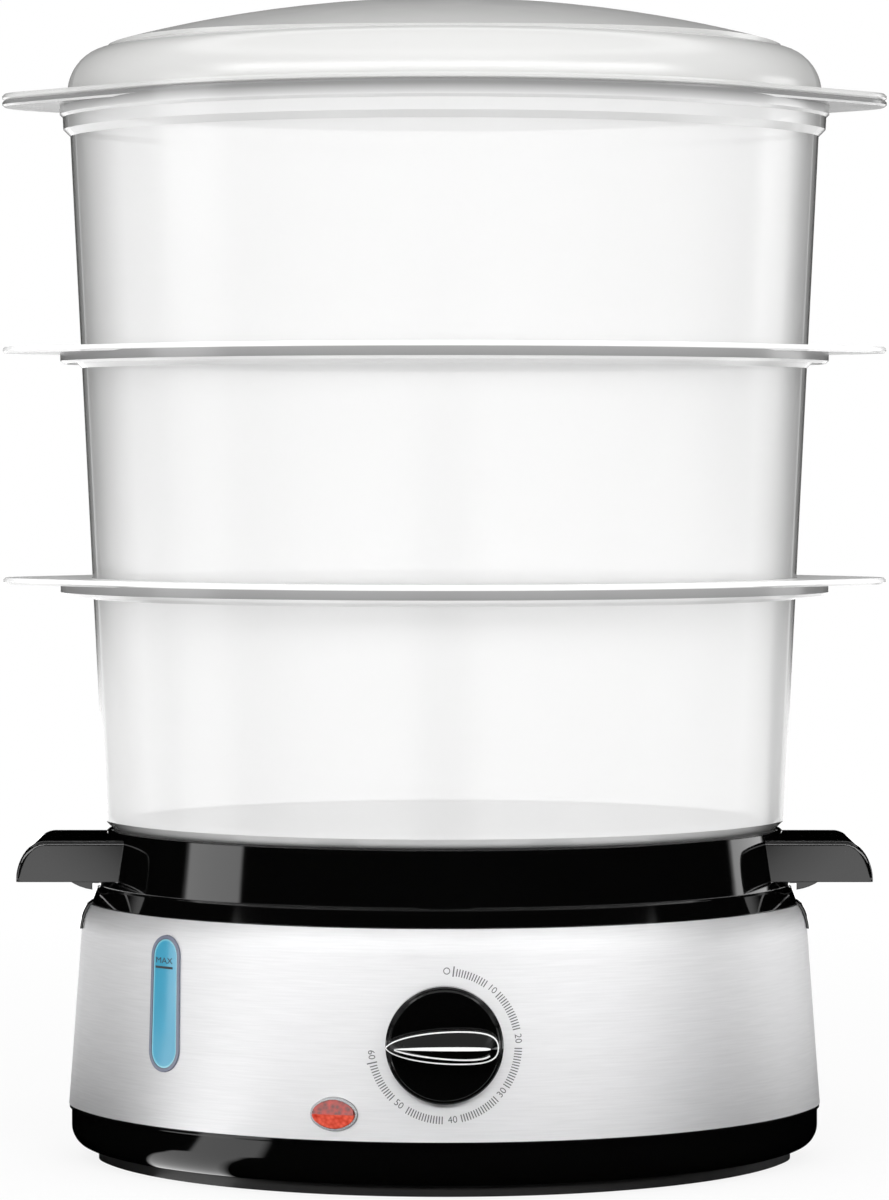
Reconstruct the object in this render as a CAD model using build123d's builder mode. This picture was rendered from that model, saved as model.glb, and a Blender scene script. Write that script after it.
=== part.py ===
"""Three-tier electric food steamer: base, timer, drip tray, three baskets and lid.

Millimetres, +Z up.  The origin is the middle of the foot rim on the table, X runs from
ear to ear and the controls face -Y.  Every wall in plan is a parallel offset of one
four-arc oval, so a wall is named by its half width, the distance from the middle to the
wall at the +X end.
"""

from build123d import *
from math import atan, atan2, cos, degrees, radians, sin, sqrt, tan
import os

# Plan oval: outline of the foot of the steel band
OVAL_HALF_WIDTH = 130.0
OVAL_HALF_DEPTH = 109.0
OVAL_END_RADIUS = 55.0

# Heights above the table
PLATE_LIFT = 1.0
HOUSING_BOTTOM = 3.5
BAND_BOTTOM = 19.2
TANK_RIM_BOTTOM = 83.8
BAND_TOP = 88.0
RING_TOP = 94.4
TRAY_TOP = 113.9
TIER_PITCH = 79.4
TOP_BASKET_EXTRA = 5.1
NEST_DEPTH = 7.1
LID_SHOULDER_RISE = 18.4
LID_CROWN_RISE = 16.0

# Base shell, each width stepped out or in from the top of the ring
RING_TOP_HALF_WIDTH = 119.6
RING_TAPER = 2.4
RING_LAND = 6.1
RING_EDGE = 0.6
BAND_LIP = 0.4
BAND_SHOULDER_TURN = 2.8
BAND_SHOULDER_HEIGHT = 79.8
BAND_TAPER = 4.5
BAND_THICKNESS = 0.6
BAND_GAP = 0.3
BEAD_STEP = 0.2
BEAD_HEIGHT = 1.2
HOUSING_STEP = 0.9
HOUSING_WALL = 2.5
HOUSING_CORNER = 8.5
HOUSING_FLANGE = 12.0
FOOT_STEP = 9.3
FOOT_RIM_WIDTH = 4.0
TAB_HALF_DEPTH = 9.0
TAB_THICKNESS = 0.9
TAB_GAP = 0.1
TAB_DROP = 8.2
WALL_REACH = 8.0
PLATE_SLOT_LENGTH = 26.0
PLATE_SLOT_WIDTH = 3.0
PLATE_SLOT_PITCH = 8.0
PLATE_SLOT_ROWS = 5

# Feet and screws
FOOT_RADIUS = 9.0
FOOT_POCKET_DEPTH = 1.4
FOOT_EDGE = 0.5
FOOT_END_MARGIN = 34.0
FOOT_SIDE_MARGIN = 24.5
SCREW_RADIUS = 1.6
SCREW_HEAD_RADIUS = 3.1
SCREW_HEAD_HEIGHT = 1.5
SCREW_CLEARANCE = 0.1
BOSS_RADIUS = 4.0
BASE_SCREW_X = 62.0
BASE_BOSS_HEIGHT = 12.0

# Water tank and heater
TANK_RING_GAP = 3.5
TANK_FLANGE_STEP = 0.4
TIMER_ROOM = 40.4
TANK_WALL = 2.2
TANK_DEPTH = 61.0
TANK_DRAFT = 3.0
TANK_CORNER = 12.0
TANK_FLOOR_EDGE = 4.0
HEATER_RADIUS = 33.0
HEATER_FLANGE_RADIUS = 41.0
HEATER_FLANGE_THICKNESS = 3.0
HEATER_RISE = 3.5
HEATER_EDGE = 1.0
HEATER_CLEARANCE = 0.6
SEAL_THICKNESS = 1.5
STRAP_WIDTH = 14.0
STRAP_THICKNESS = 1.5
STRAP_SCREW_X = 48.0
BLADE_X = 22.0
BLADE_THICKNESS = 0.8
BLADE_WIDTH = 6.3
BLADE_LENGTH = 8.0
TERMINAL_GAP = 2.3
TERMINAL_LENGTH = 30.0
TERMINAL_WIDTH = 14.0
TERMINAL_HEIGHT = 13.0
TERMINAL_POLES = 3
CUTOUT_RADIUS = 8.0
CUTOUT_HEIGHT = 5.0
CUTOUT_Y = 20.0
INLET_RADIUS = 4.6
INLET_FLANGE_RADIUS = 6.4
INLET_FLANGE = 2.2
INLET_BORE = 3.2
INLET_HEIGHT = 11.2
INLET_X = -40.0

# Timer and knob
KNOB_HEIGHT = 51.1
KNOB_RADIUS = 19.2
KNOB_BASE_THICKNESS = 5.0
KNOB_BEVEL = 1.4
KNOB_GAP = 1.9
GRIP_LENGTH = 36.6
GRIP_WIDTH = 11.6
GRIP_RISE = 8.5
GRIP_ROOF = 3.0
GRIP_BELLY = 0.2
GRIP_FULLNESS = 0.36
GRIP_CREST_WIDTH = 1.9
GRIP_CREST_LENGTH = 31.0
SHAFT_RADIUS = 3.0
SHAFT_CLEARANCE = 0.05
SHAFT_FLAT = 0.8
SHAFT_BITE = 5.5
SHAFT_LENGTH = 24.0
TIMER_SIZE = 44.0
TIMER_DEPTH = 21.0
TIMER_CORNER = 3.0
TIMER_NOSE_RADIUS = 7.0
TIMER_NOSE_LENGTH = 9.0
TIMER_SETBACK = 16.5
TIMER_BORE_DEPTH = 6.0
TIMER_HOLE_RADIUS = 8.0
TIMER_SCREW_X = 28.0
TIMER_SCREW_LENGTH = 8.0
BRACKET_HALF_WIDTH = 33.5
BRACKET_HEIGHT = 20.0
BRACKET_THICKNESS = 1.2
BELL_RADIUS = 15.0
BELL_HEIGHT = 6.0
BELL_THICKNESS = 1.2

# Pilot light
PILOT_X = -36.0
PILOT_HEIGHT = 27.8
PILOT_WIDTH = 14.2
PILOT_TALL = 9.4
PILOT_END_RADIUS = 3.3
PILOT_BEZEL = 0.8
PILOT_PROUD = 1.9
PILOT_DEPTH = 9.0
PILOT_SKIN = 1.2
PILOT_EDGE = 0.5
PILOT_LIP = 0.3
BEZEL_DEPTH = 3.0
LAMP_RADIUS = 2.9
LAMP_LENGTH = 11.0

# Water window
WINDOW_END_MARGIN = 36.7
WINDOW_BOTTOM = 37.4
WINDOW_TOP = 82.8
WINDOW_FOOT_RADIUS = 7.3
WINDOW_TOP_RADIUS = 7.0
WINDOW_FRAME = 1.2
WINDOW_PROUD = 0.5
WINDOW_DEPTH = 6.0
WINDOW_SKIN = 1.5
WINDOW_REACH = 14.0
GAUGE_PIPE_RADIUS = 2.6
GAUGE_PIPE_BORE = 1.4
PIPE_HEIGHT = 44.0
PIPE_GAP = 0.3

# Drip tray
TRAY_TOP_HALF_WIDTH = 116.4
TRAY_FOOT_STEP = 0.6
TRAY_WALL = 2.2
TRAY_LEDGE = 8.0
TRAY_SPIGOT_CLEARANCE = 0.5
TRAY_SPIGOT_DEPTH = 4.4
TOWER_RADIUS = 32.0
TOWER_HEIGHT = 13.0
TOWER_WINDOWS = 10
TOWER_WINDOW_WIDTH = 11.0
TOWER_WINDOW_HEIGHT = 6.5
TOWER_EDGE = 1.5
TOWER_SILL = 2.5
HANDLE_LENGTH = 27.0
HANDLE_TOP = 111.3
HANDLE_BOTTOM = 97.3
HANDLE_HALF_DEPTH = 27.0
HANDLE_NOSE = 10.0
HANDLE_EDGE = 1.5
HANDLE_WALL = 2.2
GUSSET_STEP = 2.4
GUSSET_REACH = 10.0
GUSSET_DROP = 4.6
GUSSET_SAG = 0.6
GUSSET_GAP = 0.6
GUSSET_THICKNESS = 3.0

# Baskets
BASKET_FOOT_OVERHANG = 0.7
BASKET_DRAFT = 2.78
BASKET_WALL = 2.0
BASKET_EDGE = 3.0
BASKET_FLANGE = 14.1
SEAT_CLEARANCE = 0.3
RIM_OVERHANG = 3.04
RIM_THICKNESS = 2.2
SKIRT_WALL = 2.2
SKIRT_DROP = 3.7
SKIRT_EDGE = 1.0
EAR_LENGTH = 19.8
EAR_TIP_RADIUS = 24.0
EAR_EDGE = 0.7
VENT_INSET = 5.1
VENT_WIDTH = 4.2
VENT_MIDDLE_LENGTH = 57.0
VENT_SIDE_LENGTH = 28.0
VENT_SIDE_X = 56.0
FLOOR_GAP = 0.8
FLOOR_THICKNESS = 2.0
FLOOR_SLOT_LENGTH = 17.0
FLOOR_SLOT_WIDTH = 3.4
FLOOR_SLOT_PITCH_X = 25.0
FLOOR_SLOT_PITCH_Y = 13.0
FLOOR_COLUMNS = 9
FLOOR_ROWS = 15
FLOOR_MARGIN = 10.0

# Lid
LID_WALL = 2.0
LID_RIM_STEP = 0.8
LID_FLANGE_LAND = 2.0
LID_FLANGE_THICKNESS = 2.2
LID_SHOULDER_WIDTH = 13.4
LID_CREASE_STEP = 0.5
LID_BULGE = 3.3
LID_RIB_DROP = 3.6
LID_RIB_WALL = 1.8
LID_RIB_CLEARANCE = 0.6
LID_VENT_RADIUS = 2.2
LID_VENT_CIRCLE = 34.0
LID_VENTS = 6

TIERS = (1, 2, 3)
QUARTER_TURN = 90

os.makedirs("parts", exist_ok=True)


# ---------------------------------------------------------------- shared geometry


def arc_side_radius(half_width, half_depth, end_radius):
    """Radius of the two long arcs that complete a four-arc oval of this size."""
    square = half_width**2 + half_depth**2 - 2 * half_width * end_radius
    return square / (2 * (half_depth - end_radius))


def four_arcs(half_width, half_depth, end_centre, side_centre):
    """Closed wire of a four-arc oval whose arc centres lie this far out along X and Y."""
    end_radius = half_width - end_centre
    reach = sqrt(end_centre**2 + side_centre**2)
    joint_x = end_centre + end_radius * end_centre / reach
    joint_y = end_radius * side_centre / reach
    with BuildLine(mode=Mode.PRIVATE) as outline:
        ThreePointArc((joint_x, -joint_y), (half_width, 0), (joint_x, joint_y))
        ThreePointArc((joint_x, joint_y), (0, half_depth), (-joint_x, joint_y))
        ThreePointArc((-joint_x, joint_y), (-half_width, 0), (-joint_x, -joint_y))
        ThreePointArc((-joint_x, -joint_y), (0, -half_depth), (joint_x, -joint_y))
    return outline.wire()


END_CENTRE = OVAL_HALF_WIDTH - OVAL_END_RADIUS
SIDE_RADIUS = arc_side_radius(OVAL_HALF_WIDTH, OVAL_HALF_DEPTH, OVAL_END_RADIUS)
SIDE_CENTRE = SIDE_RADIUS - OVAL_HALF_DEPTH


def oval_path(half_width):
    """Closed wire of the oval wall with this half width, in the XY plane."""
    half_depth = OVAL_HALF_DEPTH + half_width - OVAL_HALF_WIDTH
    return four_arcs(half_width, half_depth, END_CENTRE, SIDE_CENTRE)


def oval(half_width, mode=Mode.ADD):
    """Add the oval face with this half width to the sketch being built."""
    make_face(oval_path(half_width).edges(), mode=mode)


def wall_y(half_width, x):
    """Distance behind the X axis at which the oval wall passes this x."""
    return sqrt((SIDE_RADIUS + half_width - OVAL_HALF_WIDTH) ** 2 - x**2) - SIDE_CENTRE


def wall_plane(half_width, x, height):
    """Plane on the front wall at this x and height, facing straight out of the wall."""
    tilt = atan2(x, wall_y(half_width, x) + SIDE_CENTRE)
    return Plane(
        origin=(x, -wall_y(half_width, x), height),
        x_dir=(cos(tilt), sin(tilt), 0),
        z_dir=(sin(tilt), -cos(tilt), 0),
    )


def oval_slab(half_width, bottom, thickness, mode=Mode.ADD):
    """Add a flat oval slab to the part being built."""
    with BuildSketch(Plane.XY.offset(bottom)) as face:
        oval(half_width)
    extrude(to_extrude=face.sketch, amount=thickness, mode=mode)


def sweep_round(mode=Mode.ADD):
    """Carry the section just sketched in the XZ plane round the oval."""
    sweep(path=oval_path(OVAL_HALF_WIDTH), mode=mode)


def band_strip(outer, inner):
    """Section between two copies of the steel band's profile, moved in by these amounts."""
    with BuildLine(mode=Mode.PRIVATE) as outline:
        for inset in (outer, inner):
            foot = (BAND_FOOT_HALF_WIDTH - inset, BAND_BOTTOM)
            shoulder = (BAND_SHOULDER_HALF_WIDTH - inset, BAND_SHOULDER_HEIGHT)
            wall = Line(foot, shoulder)
            TangentArc(shoulder, (BAND_TOP_HALF_WIDTH - inset, BAND_TOP), tangent=wall % 1)
        for half_width, height in (
            (BAND_FOOT_HALF_WIDTH, BAND_BOTTOM),
            (BAND_TOP_HALF_WIDTH, BAND_TOP),
        ):
            Line((half_width - outer, height), (half_width - inner, height))
    make_face(outline.edges())


def corner(sketch, half_width, height):
    """Corner of a section nearest to this half width and height."""
    return sketch.vertices().sort_by_distance((half_width, height))[0]


def hole_along(plane, radius, reach, mode=Mode.SUBTRACT):
    """Round bar or hole centred on this plane, reaching both ways along its normal."""
    with BuildSketch(plane) as disc:
        Circle(radius)
    extrude(to_extrude=disc.sketch, amount=reach, both=True, mode=mode)


def finish(part, name):
    """Name the finished piece and write it for the assembly."""
    part.label = name
    export_step(part, f"parts/{name}.step")


# ---------------------------------------------------------------- base shell

RING_HALF_WIDTH = RING_TOP_HALF_WIDTH + RING_TAPER
RING_INNER_HALF_WIDTH = RING_TOP_HALF_WIDTH - RING_LAND
BAND_TOP_HALF_WIDTH = RING_HALF_WIDTH + BAND_LIP
BAND_SHOULDER_HALF_WIDTH = BAND_TOP_HALF_WIDTH + BAND_SHOULDER_TURN
BAND_FOOT_HALF_WIDTH = BAND_SHOULDER_HALF_WIDTH + BAND_TAPER
BEAD_HALF_WIDTH = BAND_FOOT_HALF_WIDTH - BEAD_STEP
HOUSING_HALF_WIDTH = BAND_FOOT_HALF_WIDTH - HOUSING_STEP
FOOT_HALF_WIDTH = HOUSING_HALF_WIDTH - FOOT_STEP
HOUSING_INSET = BAND_THICKNESS + BAND_GAP
HOUSING_FLOOR = HOUSING_BOTTOM + HOUSING_WALL
BAND_LEAN = (BAND_FOOT_HALF_WIDTH - BAND_SHOULDER_HALF_WIDTH) / (BAND_SHOULDER_HEIGHT - BAND_BOTTOM)


def band_half_width(height):
    """Half width of the steel band's outside at this height, between foot and shoulder."""
    return BAND_FOOT_HALF_WIDTH - BAND_LEAN * (height - BAND_BOTTOM)


PILOT_PLANE = wall_plane(band_half_width(PILOT_HEIGHT), PILOT_X, PILOT_HEIGHT)
WINDOW_X = WINDOW_END_MARGIN - BAND_FOOT_HALF_WIDTH
WINDOW_HEIGHT = WINDOW_TOP - WINDOW_BOTTOM
WINDOW_MIDDLE = (WINDOW_TOP + WINDOW_BOTTOM) / 2
WINDOW_PLANE = wall_plane(band_half_width(WINDOW_MIDDLE), WINDOW_X, WINDOW_MIDDLE).rotated(
    (-degrees(atan(BAND_LEAN)), 0, 0)
)
KNOB_PLANE = wall_plane(band_half_width(KNOB_HEIGHT), 0, KNOB_HEIGHT)
INLET_PLANE = Plane(
    origin=(INLET_X, wall_y(HOUSING_HALF_WIDTH, INLET_X), INLET_HEIGHT),
    z_dir=(INLET_X, wall_y(HOUSING_HALF_WIDTH, INLET_X) + SIDE_CENTRE, 0),
)
BASE_SCREW_Y = wall_y(FOOT_HALF_WIDTH - HOUSING_FLANGE / 2, BASE_SCREW_X)
FOOT_X = FOOT_HALF_WIDTH - FOOT_END_MARGIN
FOOT_Y = wall_y(FOOT_HALF_WIDTH, FOOT_X) - FOOT_SIDE_MARGIN
TIMER_FRONT = -wall_y(band_half_width(KNOB_HEIGHT), 0) + TIMER_SETBACK

TIMER_PLANE = Plane(origin=(0, TIMER_FRONT, KNOB_HEIGHT), x_dir=(1, 0, 0), z_dir=(0, -1, 0))
SHAFT_TAIL = KNOB_GAP - SHAFT_LENGTH
RING_BOTTOM = TANK_RIM_BOTTOM + TANK_WALL


def window_slot(margin, reach, mode):
    """Slot of the water window, narrower at its top, grown by this margin and pushed both ways."""
    with BuildSketch(WINDOW_PLANE) as slot:
        with Locations((0, WINDOW_HEIGHT / 2 - WINDOW_TOP_RADIUS)):
            Circle(WINDOW_TOP_RADIUS + margin)
        with Locations((0, WINDOW_FOOT_RADIUS - WINDOW_HEIGHT / 2)):
            Circle(WINDOW_FOOT_RADIUS + margin)
        make_hull()
    extrude(to_extrude=slot.sketch, amount=reach, both=True, mode=mode)


def base_screw_places():
    """The four base screws, on the flange that the bottom plate closes."""
    return GridLocations(2 * BASE_SCREW_X, 2 * BASE_SCREW_Y, 2, 2)


def foot_places():
    """The four rubber feet."""
    return GridLocations(2 * FOOT_X, 2 * FOOT_Y, 2, 2)


def timer_screw_places():
    """The two screws of the timer bracket, in the timer plane."""
    return GridLocations(2 * TIMER_SCREW_X, 0, 2, 1)


def pilot_oval(margin, mode=Mode.ADD):
    """Add the pilot light's oval, grown by this margin, to the sketch being built."""
    side_radius = arc_side_radius(PILOT_WIDTH / 2, PILOT_TALL / 2, PILOT_END_RADIUS)
    outline = four_arcs(
        PILOT_WIDTH / 2 + margin,
        PILOT_TALL / 2 + margin,
        PILOT_WIDTH / 2 - PILOT_END_RADIUS,
        side_radius - PILOT_TALL / 2,
    )
    make_face(outline.edges(), mode=mode)


def pilot_hole(margin):
    """Cut the pilot light's oval, grown by this margin, through the wall."""
    with BuildSketch(PILOT_PLANE) as opening:
        pilot_oval(margin)
    extrude(to_extrude=opening.sketch, amount=WALL_REACH, both=True, mode=Mode.SUBTRACT)


with BuildPart() as base_housing:
    with BuildSketch(Plane.XZ):
        band_strip(HOUSING_INSET, HOUSING_INSET + HOUSING_WALL)
    sweep_round()
    split(bisect_by=Plane.XY.offset(TANK_RIM_BOTTOM), keep=Keep.BOTTOM)
    with BuildSketch(Plane.XZ) as foot:
        with BuildLine():
            Polyline(
                (FOOT_HALF_WIDTH - HOUSING_FLANGE, HOUSING_BOTTOM),
                (HOUSING_HALF_WIDTH, HOUSING_BOTTOM),
                (HOUSING_HALF_WIDTH, BAND_BOTTOM - BEAD_HEIGHT),
                (BEAD_HALF_WIDTH, BAND_BOTTOM - BEAD_HEIGHT),
                (BEAD_HALF_WIDTH, BAND_BOTTOM),
                (HOUSING_HALF_WIDTH - HOUSING_WALL, BAND_BOTTOM),
                (HOUSING_HALF_WIDTH - HOUSING_WALL, HOUSING_FLOOR),
                (FOOT_HALF_WIDTH - HOUSING_FLANGE, HOUSING_FLOOR),
                close=True,
            )
        make_face()
        fillet(corner(foot, HOUSING_HALF_WIDTH, HOUSING_BOTTOM), HOUSING_CORNER)
        chamfer(
            corner(foot, HOUSING_HALF_WIDTH - HOUSING_WALL, HOUSING_FLOOR),
            HOUSING_CORNER - HOUSING_WALL,
        )
    sweep_round()
    with BuildSketch(Plane.XY.offset(HOUSING_FLOOR)):
        with base_screw_places():
            Circle(BOSS_RADIUS)
    extrude(amount=BASE_BOSS_HEIGHT)
    with BuildSketch(Plane.XY.offset(HOUSING_BOTTOM)):
        with base_screw_places():
            Circle(SCREW_RADIUS + SCREW_CLEARANCE)
    extrude(amount=BASE_BOSS_HEIGHT, mode=Mode.SUBTRACT)
    with BuildSketch(TIMER_PLANE):
        with timer_screw_places():
            Circle(BOSS_RADIUS)
    extrude(until=Until.NEXT)
    with BuildSketch(TIMER_PLANE):
        with timer_screw_places():
            Circle(SCREW_RADIUS + SCREW_CLEARANCE)
    extrude(amount=TIMER_SCREW_LENGTH, mode=Mode.SUBTRACT)
    window_slot(SCREW_CLEARANCE, WALL_REACH, Mode.SUBTRACT)
    pilot_hole(PILOT_BEZEL + SCREW_CLEARANCE)
    hole_along(KNOB_PLANE, TIMER_HOLE_RADIUS, WALL_REACH)
    hole_along(INLET_PLANE, INLET_RADIUS + SCREW_CLEARANCE, WALL_REACH)
finish(base_housing.part, "base_housing")


with BuildPart() as bottom_plate:
    oval_slab(FOOT_HALF_WIDTH, 0, HOUSING_BOTTOM)
    oval_slab(FOOT_HALF_WIDTH - FOOT_RIM_WIDTH, 0, PLATE_LIFT, Mode.SUBTRACT)
    with BuildSketch(Plane.XY.offset(PLATE_LIFT)):
        with foot_places():
            Circle(FOOT_RADIUS + SCREW_CLEARANCE)
    extrude(amount=FOOT_POCKET_DEPTH, mode=Mode.SUBTRACT)
    with BuildSketch(Plane.XY.offset(PLATE_LIFT)):
        with base_screw_places():
            Circle(SCREW_RADIUS + SCREW_CLEARANCE)
        with GridLocations(PLATE_SLOT_LENGTH * 2, PLATE_SLOT_PITCH, 2, PLATE_SLOT_ROWS):
            Rectangle(PLATE_SLOT_LENGTH, PLATE_SLOT_WIDTH)
    extrude(amount=HOUSING_BOTTOM, mode=Mode.SUBTRACT)
    with BuildSketch(Plane.XY.offset(PLATE_LIFT)):
        with base_screw_places():
            Circle(SCREW_HEAD_RADIUS + SCREW_CLEARANCE)
    extrude(amount=SCREW_HEAD_HEIGHT + SCREW_CLEARANCE, mode=Mode.SUBTRACT)
finish(bottom_plate.part, "bottom_plate")


with BuildPart() as rubber_feet:
    with BuildSketch():
        with foot_places():
            Circle(FOOT_RADIUS)
    extrude(amount=PLATE_LIFT + FOOT_POCKET_DEPTH)
    chamfer(rubber_feet.edges().group_by(Axis.Z)[0], FOOT_EDGE)
finish(rubber_feet.part, "rubber_feet")


with BuildPart() as base_screws:
    with BuildSketch(Plane.XY.offset(PLATE_LIFT + SCREW_CLEARANCE)):
        with base_screw_places():
            Circle(SCREW_HEAD_RADIUS)
    extrude(amount=SCREW_HEAD_HEIGHT)
    with BuildSketch(Plane.XY.offset(PLATE_LIFT + SCREW_CLEARANCE + SCREW_HEAD_HEIGHT)):
        with base_screw_places():
            Circle(SCREW_RADIUS)
    extrude(amount=BASE_BOSS_HEIGHT - SCREW_HEAD_HEIGHT)
finish(base_screws.part, "base_screws")


with BuildPart() as steel_band:
    with BuildSketch(Plane.XZ):
        band_strip(0, BAND_THICKNESS)
    sweep_round()
    window_slot(SCREW_CLEARANCE, WALL_REACH, Mode.SUBTRACT)
    pilot_hole(PILOT_BEZEL + SCREW_CLEARANCE)
    hole_along(KNOB_PLANE, TIMER_HOLE_RADIUS, WALL_REACH)
finish(steel_band.part, "steel_band")


with BuildPart() as ring_tabs:
    with BuildSketch(Plane.XZ):
        band_strip(-TAB_GAP - TAB_THICKNESS, -TAB_GAP)
        with BuildLine():
            Polyline(
                (RING_HALF_WIDTH - BAND_GAP, BAND_TOP),
                (BAND_TOP_HALF_WIDTH + TAB_GAP + TAB_THICKNESS, BAND_TOP),
                (RING_HALF_WIDTH - TAB_THICKNESS, BAND_TOP + 2 * TAB_THICKNESS),
                close=True,
            )
        make_face()
    sweep_round()
    with BuildSketch(Plane.XY.offset(BAND_TOP - TAB_DROP)):
        Rectangle(2 * BEAD_HALF_WIDTH, 2 * TAB_HALF_DEPTH)
    extrude(amount=2 * TAB_DROP, mode=Mode.INTERSECT)


with BuildPart() as top_ring:
    with BuildSketch(Plane.XZ) as section:
        with BuildLine():
            Polyline(
                (RING_INNER_HALF_WIDTH, RING_BOTTOM),
                (BAND_TOP_HALF_WIDTH - HOUSING_INSET, RING_BOTTOM),
                (BAND_TOP_HALF_WIDTH - HOUSING_INSET, BAND_TOP),
                (RING_HALF_WIDTH, BAND_TOP),
                (RING_TOP_HALF_WIDTH, RING_TOP),
                (RING_INNER_HALF_WIDTH, RING_TOP),
                close=True,
            )
        make_face()
        chamfer(corner(section, RING_TOP_HALF_WIDTH, RING_TOP), RING_EDGE)
    sweep_round()
    add(ring_tabs.part)
finish(top_ring.part, "top_ring")


# ---------------------------------------------------------------- tank and heater

TANK_HALF_WIDTH = RING_INNER_HALF_WIDTH - TANK_RING_GAP
TANK_FLANGE_HALF_WIDTH = RING_HALF_WIDTH - TANK_FLANGE_STEP
TANK_FRONT = wall_y(BAND_TOP_HALF_WIDTH, 0) - TIMER_ROOM
TANK_BOTTOM = TANK_RIM_BOTTOM - TANK_DEPTH
STRAP_TOP = TANK_BOTTOM - SEAL_THICKNESS - HEATER_FLANGE_THICKNESS
HEATER_TOP = TANK_BOTTOM + TANK_WALL + HEATER_RISE
PIPE_START = band_half_width(PIPE_HEIGHT) - WINDOW_DEPTH - PIPE_GAP
PIPE_PLANE = wall_plane(PIPE_START, WINDOW_X, PIPE_HEIGHT)
TANK_SLOPE = (TANK_RIM_BOTTOM - PIPE_HEIGHT) * tan(radians(TANK_DRAFT))
PIPE_LENGTH = PIPE_START - TANK_HALF_WIDTH + TANK_SLOPE + TANK_WALL / 2
PIPE_HOLE_REACH = PIPE_LENGTH + TANK_WALL


def tank_outline(inset):
    """Plan of the tank moved in by this amount: the oval with its front cut straight."""
    with BuildSketch(mode=Mode.PRIVATE) as plan:
        oval(TANK_HALF_WIDTH - inset)
        with Locations((0, inset - TANK_FRONT)):
            Rectangle(
                2 * OVAL_HALF_WIDTH,
                2 * OVAL_HALF_DEPTH,
                align=(Align.CENTER, Align.MIN),
                mode=Mode.INTERSECT,
            )
        fillet(plan.vertices().group_by(Axis.Y)[0], TANK_CORNER - inset)
    return plan.sketch


def tank_body(inset):
    """Solid inside the tank's outer face, moved in by this amount all over."""
    with BuildPart(mode=Mode.PRIVATE) as body:
        with BuildSketch(Plane.XY.offset(RING_BOTTOM)):
            add(tank_outline(inset))
        extrude(amount=inset - RING_BOTTOM + TANK_BOTTOM, taper=TANK_DRAFT)
        chamfer(body.faces().sort_by(Axis.Z)[0].edges(), TANK_FLOOR_EDGE - inset / 2)
    return body.part


def strap_screw_places():
    """The two screws of the heater strap."""
    return GridLocations(2 * STRAP_SCREW_X, 0, 2, 1)


with BuildPart() as water_tank:
    oval_slab(TANK_FLANGE_HALF_WIDTH, TANK_RIM_BOTTOM, TANK_WALL)
    add(tank_body(0))
    add(tank_body(TANK_WALL), mode=Mode.SUBTRACT)
    with BuildSketch(Plane.XY.offset(TANK_BOTTOM)):
        with strap_screw_places():
            Circle(BOSS_RADIUS)
    extrude(amount=STRAP_TOP - TANK_BOTTOM)
    with BuildSketch(Plane.XY.offset(STRAP_TOP)):
        with strap_screw_places():
            Circle(SCREW_RADIUS + SCREW_CLEARANCE)
    extrude(amount=TANK_BOTTOM - STRAP_TOP, mode=Mode.SUBTRACT)
    with BuildSketch(Plane.XY.offset(TANK_BOTTOM)):
        Circle(HEATER_RADIUS + HEATER_CLEARANCE)
    extrude(amount=TANK_WALL, mode=Mode.SUBTRACT)
    hole_along(PIPE_PLANE, GAUGE_PIPE_RADIUS + SCREW_CLEARANCE, PIPE_HOLE_REACH)
finish(water_tank.part, "water_tank")


with BuildPart() as heater_seal:
    with BuildSketch(Plane.XY.offset(TANK_BOTTOM - SEAL_THICKNESS)):
        Circle(HEATER_FLANGE_RADIUS)
        Circle(HEATER_RADIUS + HEATER_CLEARANCE, mode=Mode.SUBTRACT)
    extrude(amount=SEAL_THICKNESS)
finish(heater_seal.part, "heater_seal")


with BuildPart() as heater:
    with BuildSketch(Plane.XY.offset(STRAP_TOP)):
        Circle(HEATER_FLANGE_RADIUS)
    extrude(amount=HEATER_FLANGE_THICKNESS)
    with BuildSketch(Plane.XY.offset(STRAP_TOP)):
        Circle(HEATER_RADIUS)
    extrude(amount=HEATER_TOP - STRAP_TOP)
    chamfer(heater.faces().sort_by(Axis.Z)[-1].edges(), HEATER_EDGE)
    with BuildSketch(Plane.XY.offset(STRAP_TOP)):
        with Locations((-BLADE_X, -CUTOUT_Y), (BLADE_X, -CUTOUT_Y)):
            Rectangle(BLADE_THICKNESS, BLADE_WIDTH)
    extrude(amount=-BLADE_LENGTH)
finish(heater.part, "heater")


with BuildPart() as heater_strap:
    with BuildSketch(Plane.XY.offset(STRAP_TOP)):
        SlotCenterToCenter(2 * STRAP_SCREW_X, STRAP_WIDTH)
        with strap_screw_places():
            Circle(SCREW_RADIUS + SCREW_CLEARANCE, mode=Mode.SUBTRACT)
    extrude(amount=-STRAP_THICKNESS)
finish(heater_strap.part, "heater_strap")


with BuildPart() as heater_screws:
    with BuildSketch(Plane.XY.offset(STRAP_TOP - STRAP_THICKNESS)):
        with strap_screw_places():
            Circle(SCREW_HEAD_RADIUS)
    extrude(amount=-SCREW_HEAD_HEIGHT)
    with BuildSketch(Plane.XY.offset(STRAP_TOP - STRAP_THICKNESS)):
        with strap_screw_places():
            Circle(SCREW_RADIUS)
    extrude(amount=TANK_BOTTOM - STRAP_TOP)
finish(heater_screws.part, "heater_screws")


with BuildPart() as thermal_cutout:
    with BuildSketch(Plane.XY.offset(STRAP_TOP)):
        with Locations((0, CUTOUT_Y)):
            Circle(CUTOUT_RADIUS)
    extrude(amount=-CUTOUT_HEIGHT)
    chamfer(thermal_cutout.edges().group_by(Axis.Z)[0], HEATER_EDGE)
finish(thermal_cutout.part, "thermal_cutout")


TERMINAL_BACK = wall_y(FOOT_HALF_WIDTH - HOUSING_FLANGE, INLET_X - TERMINAL_LENGTH / 2) - TERMINAL_GAP
TERMINAL_Y = TERMINAL_BACK - TERMINAL_WIDTH / 2

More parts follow.
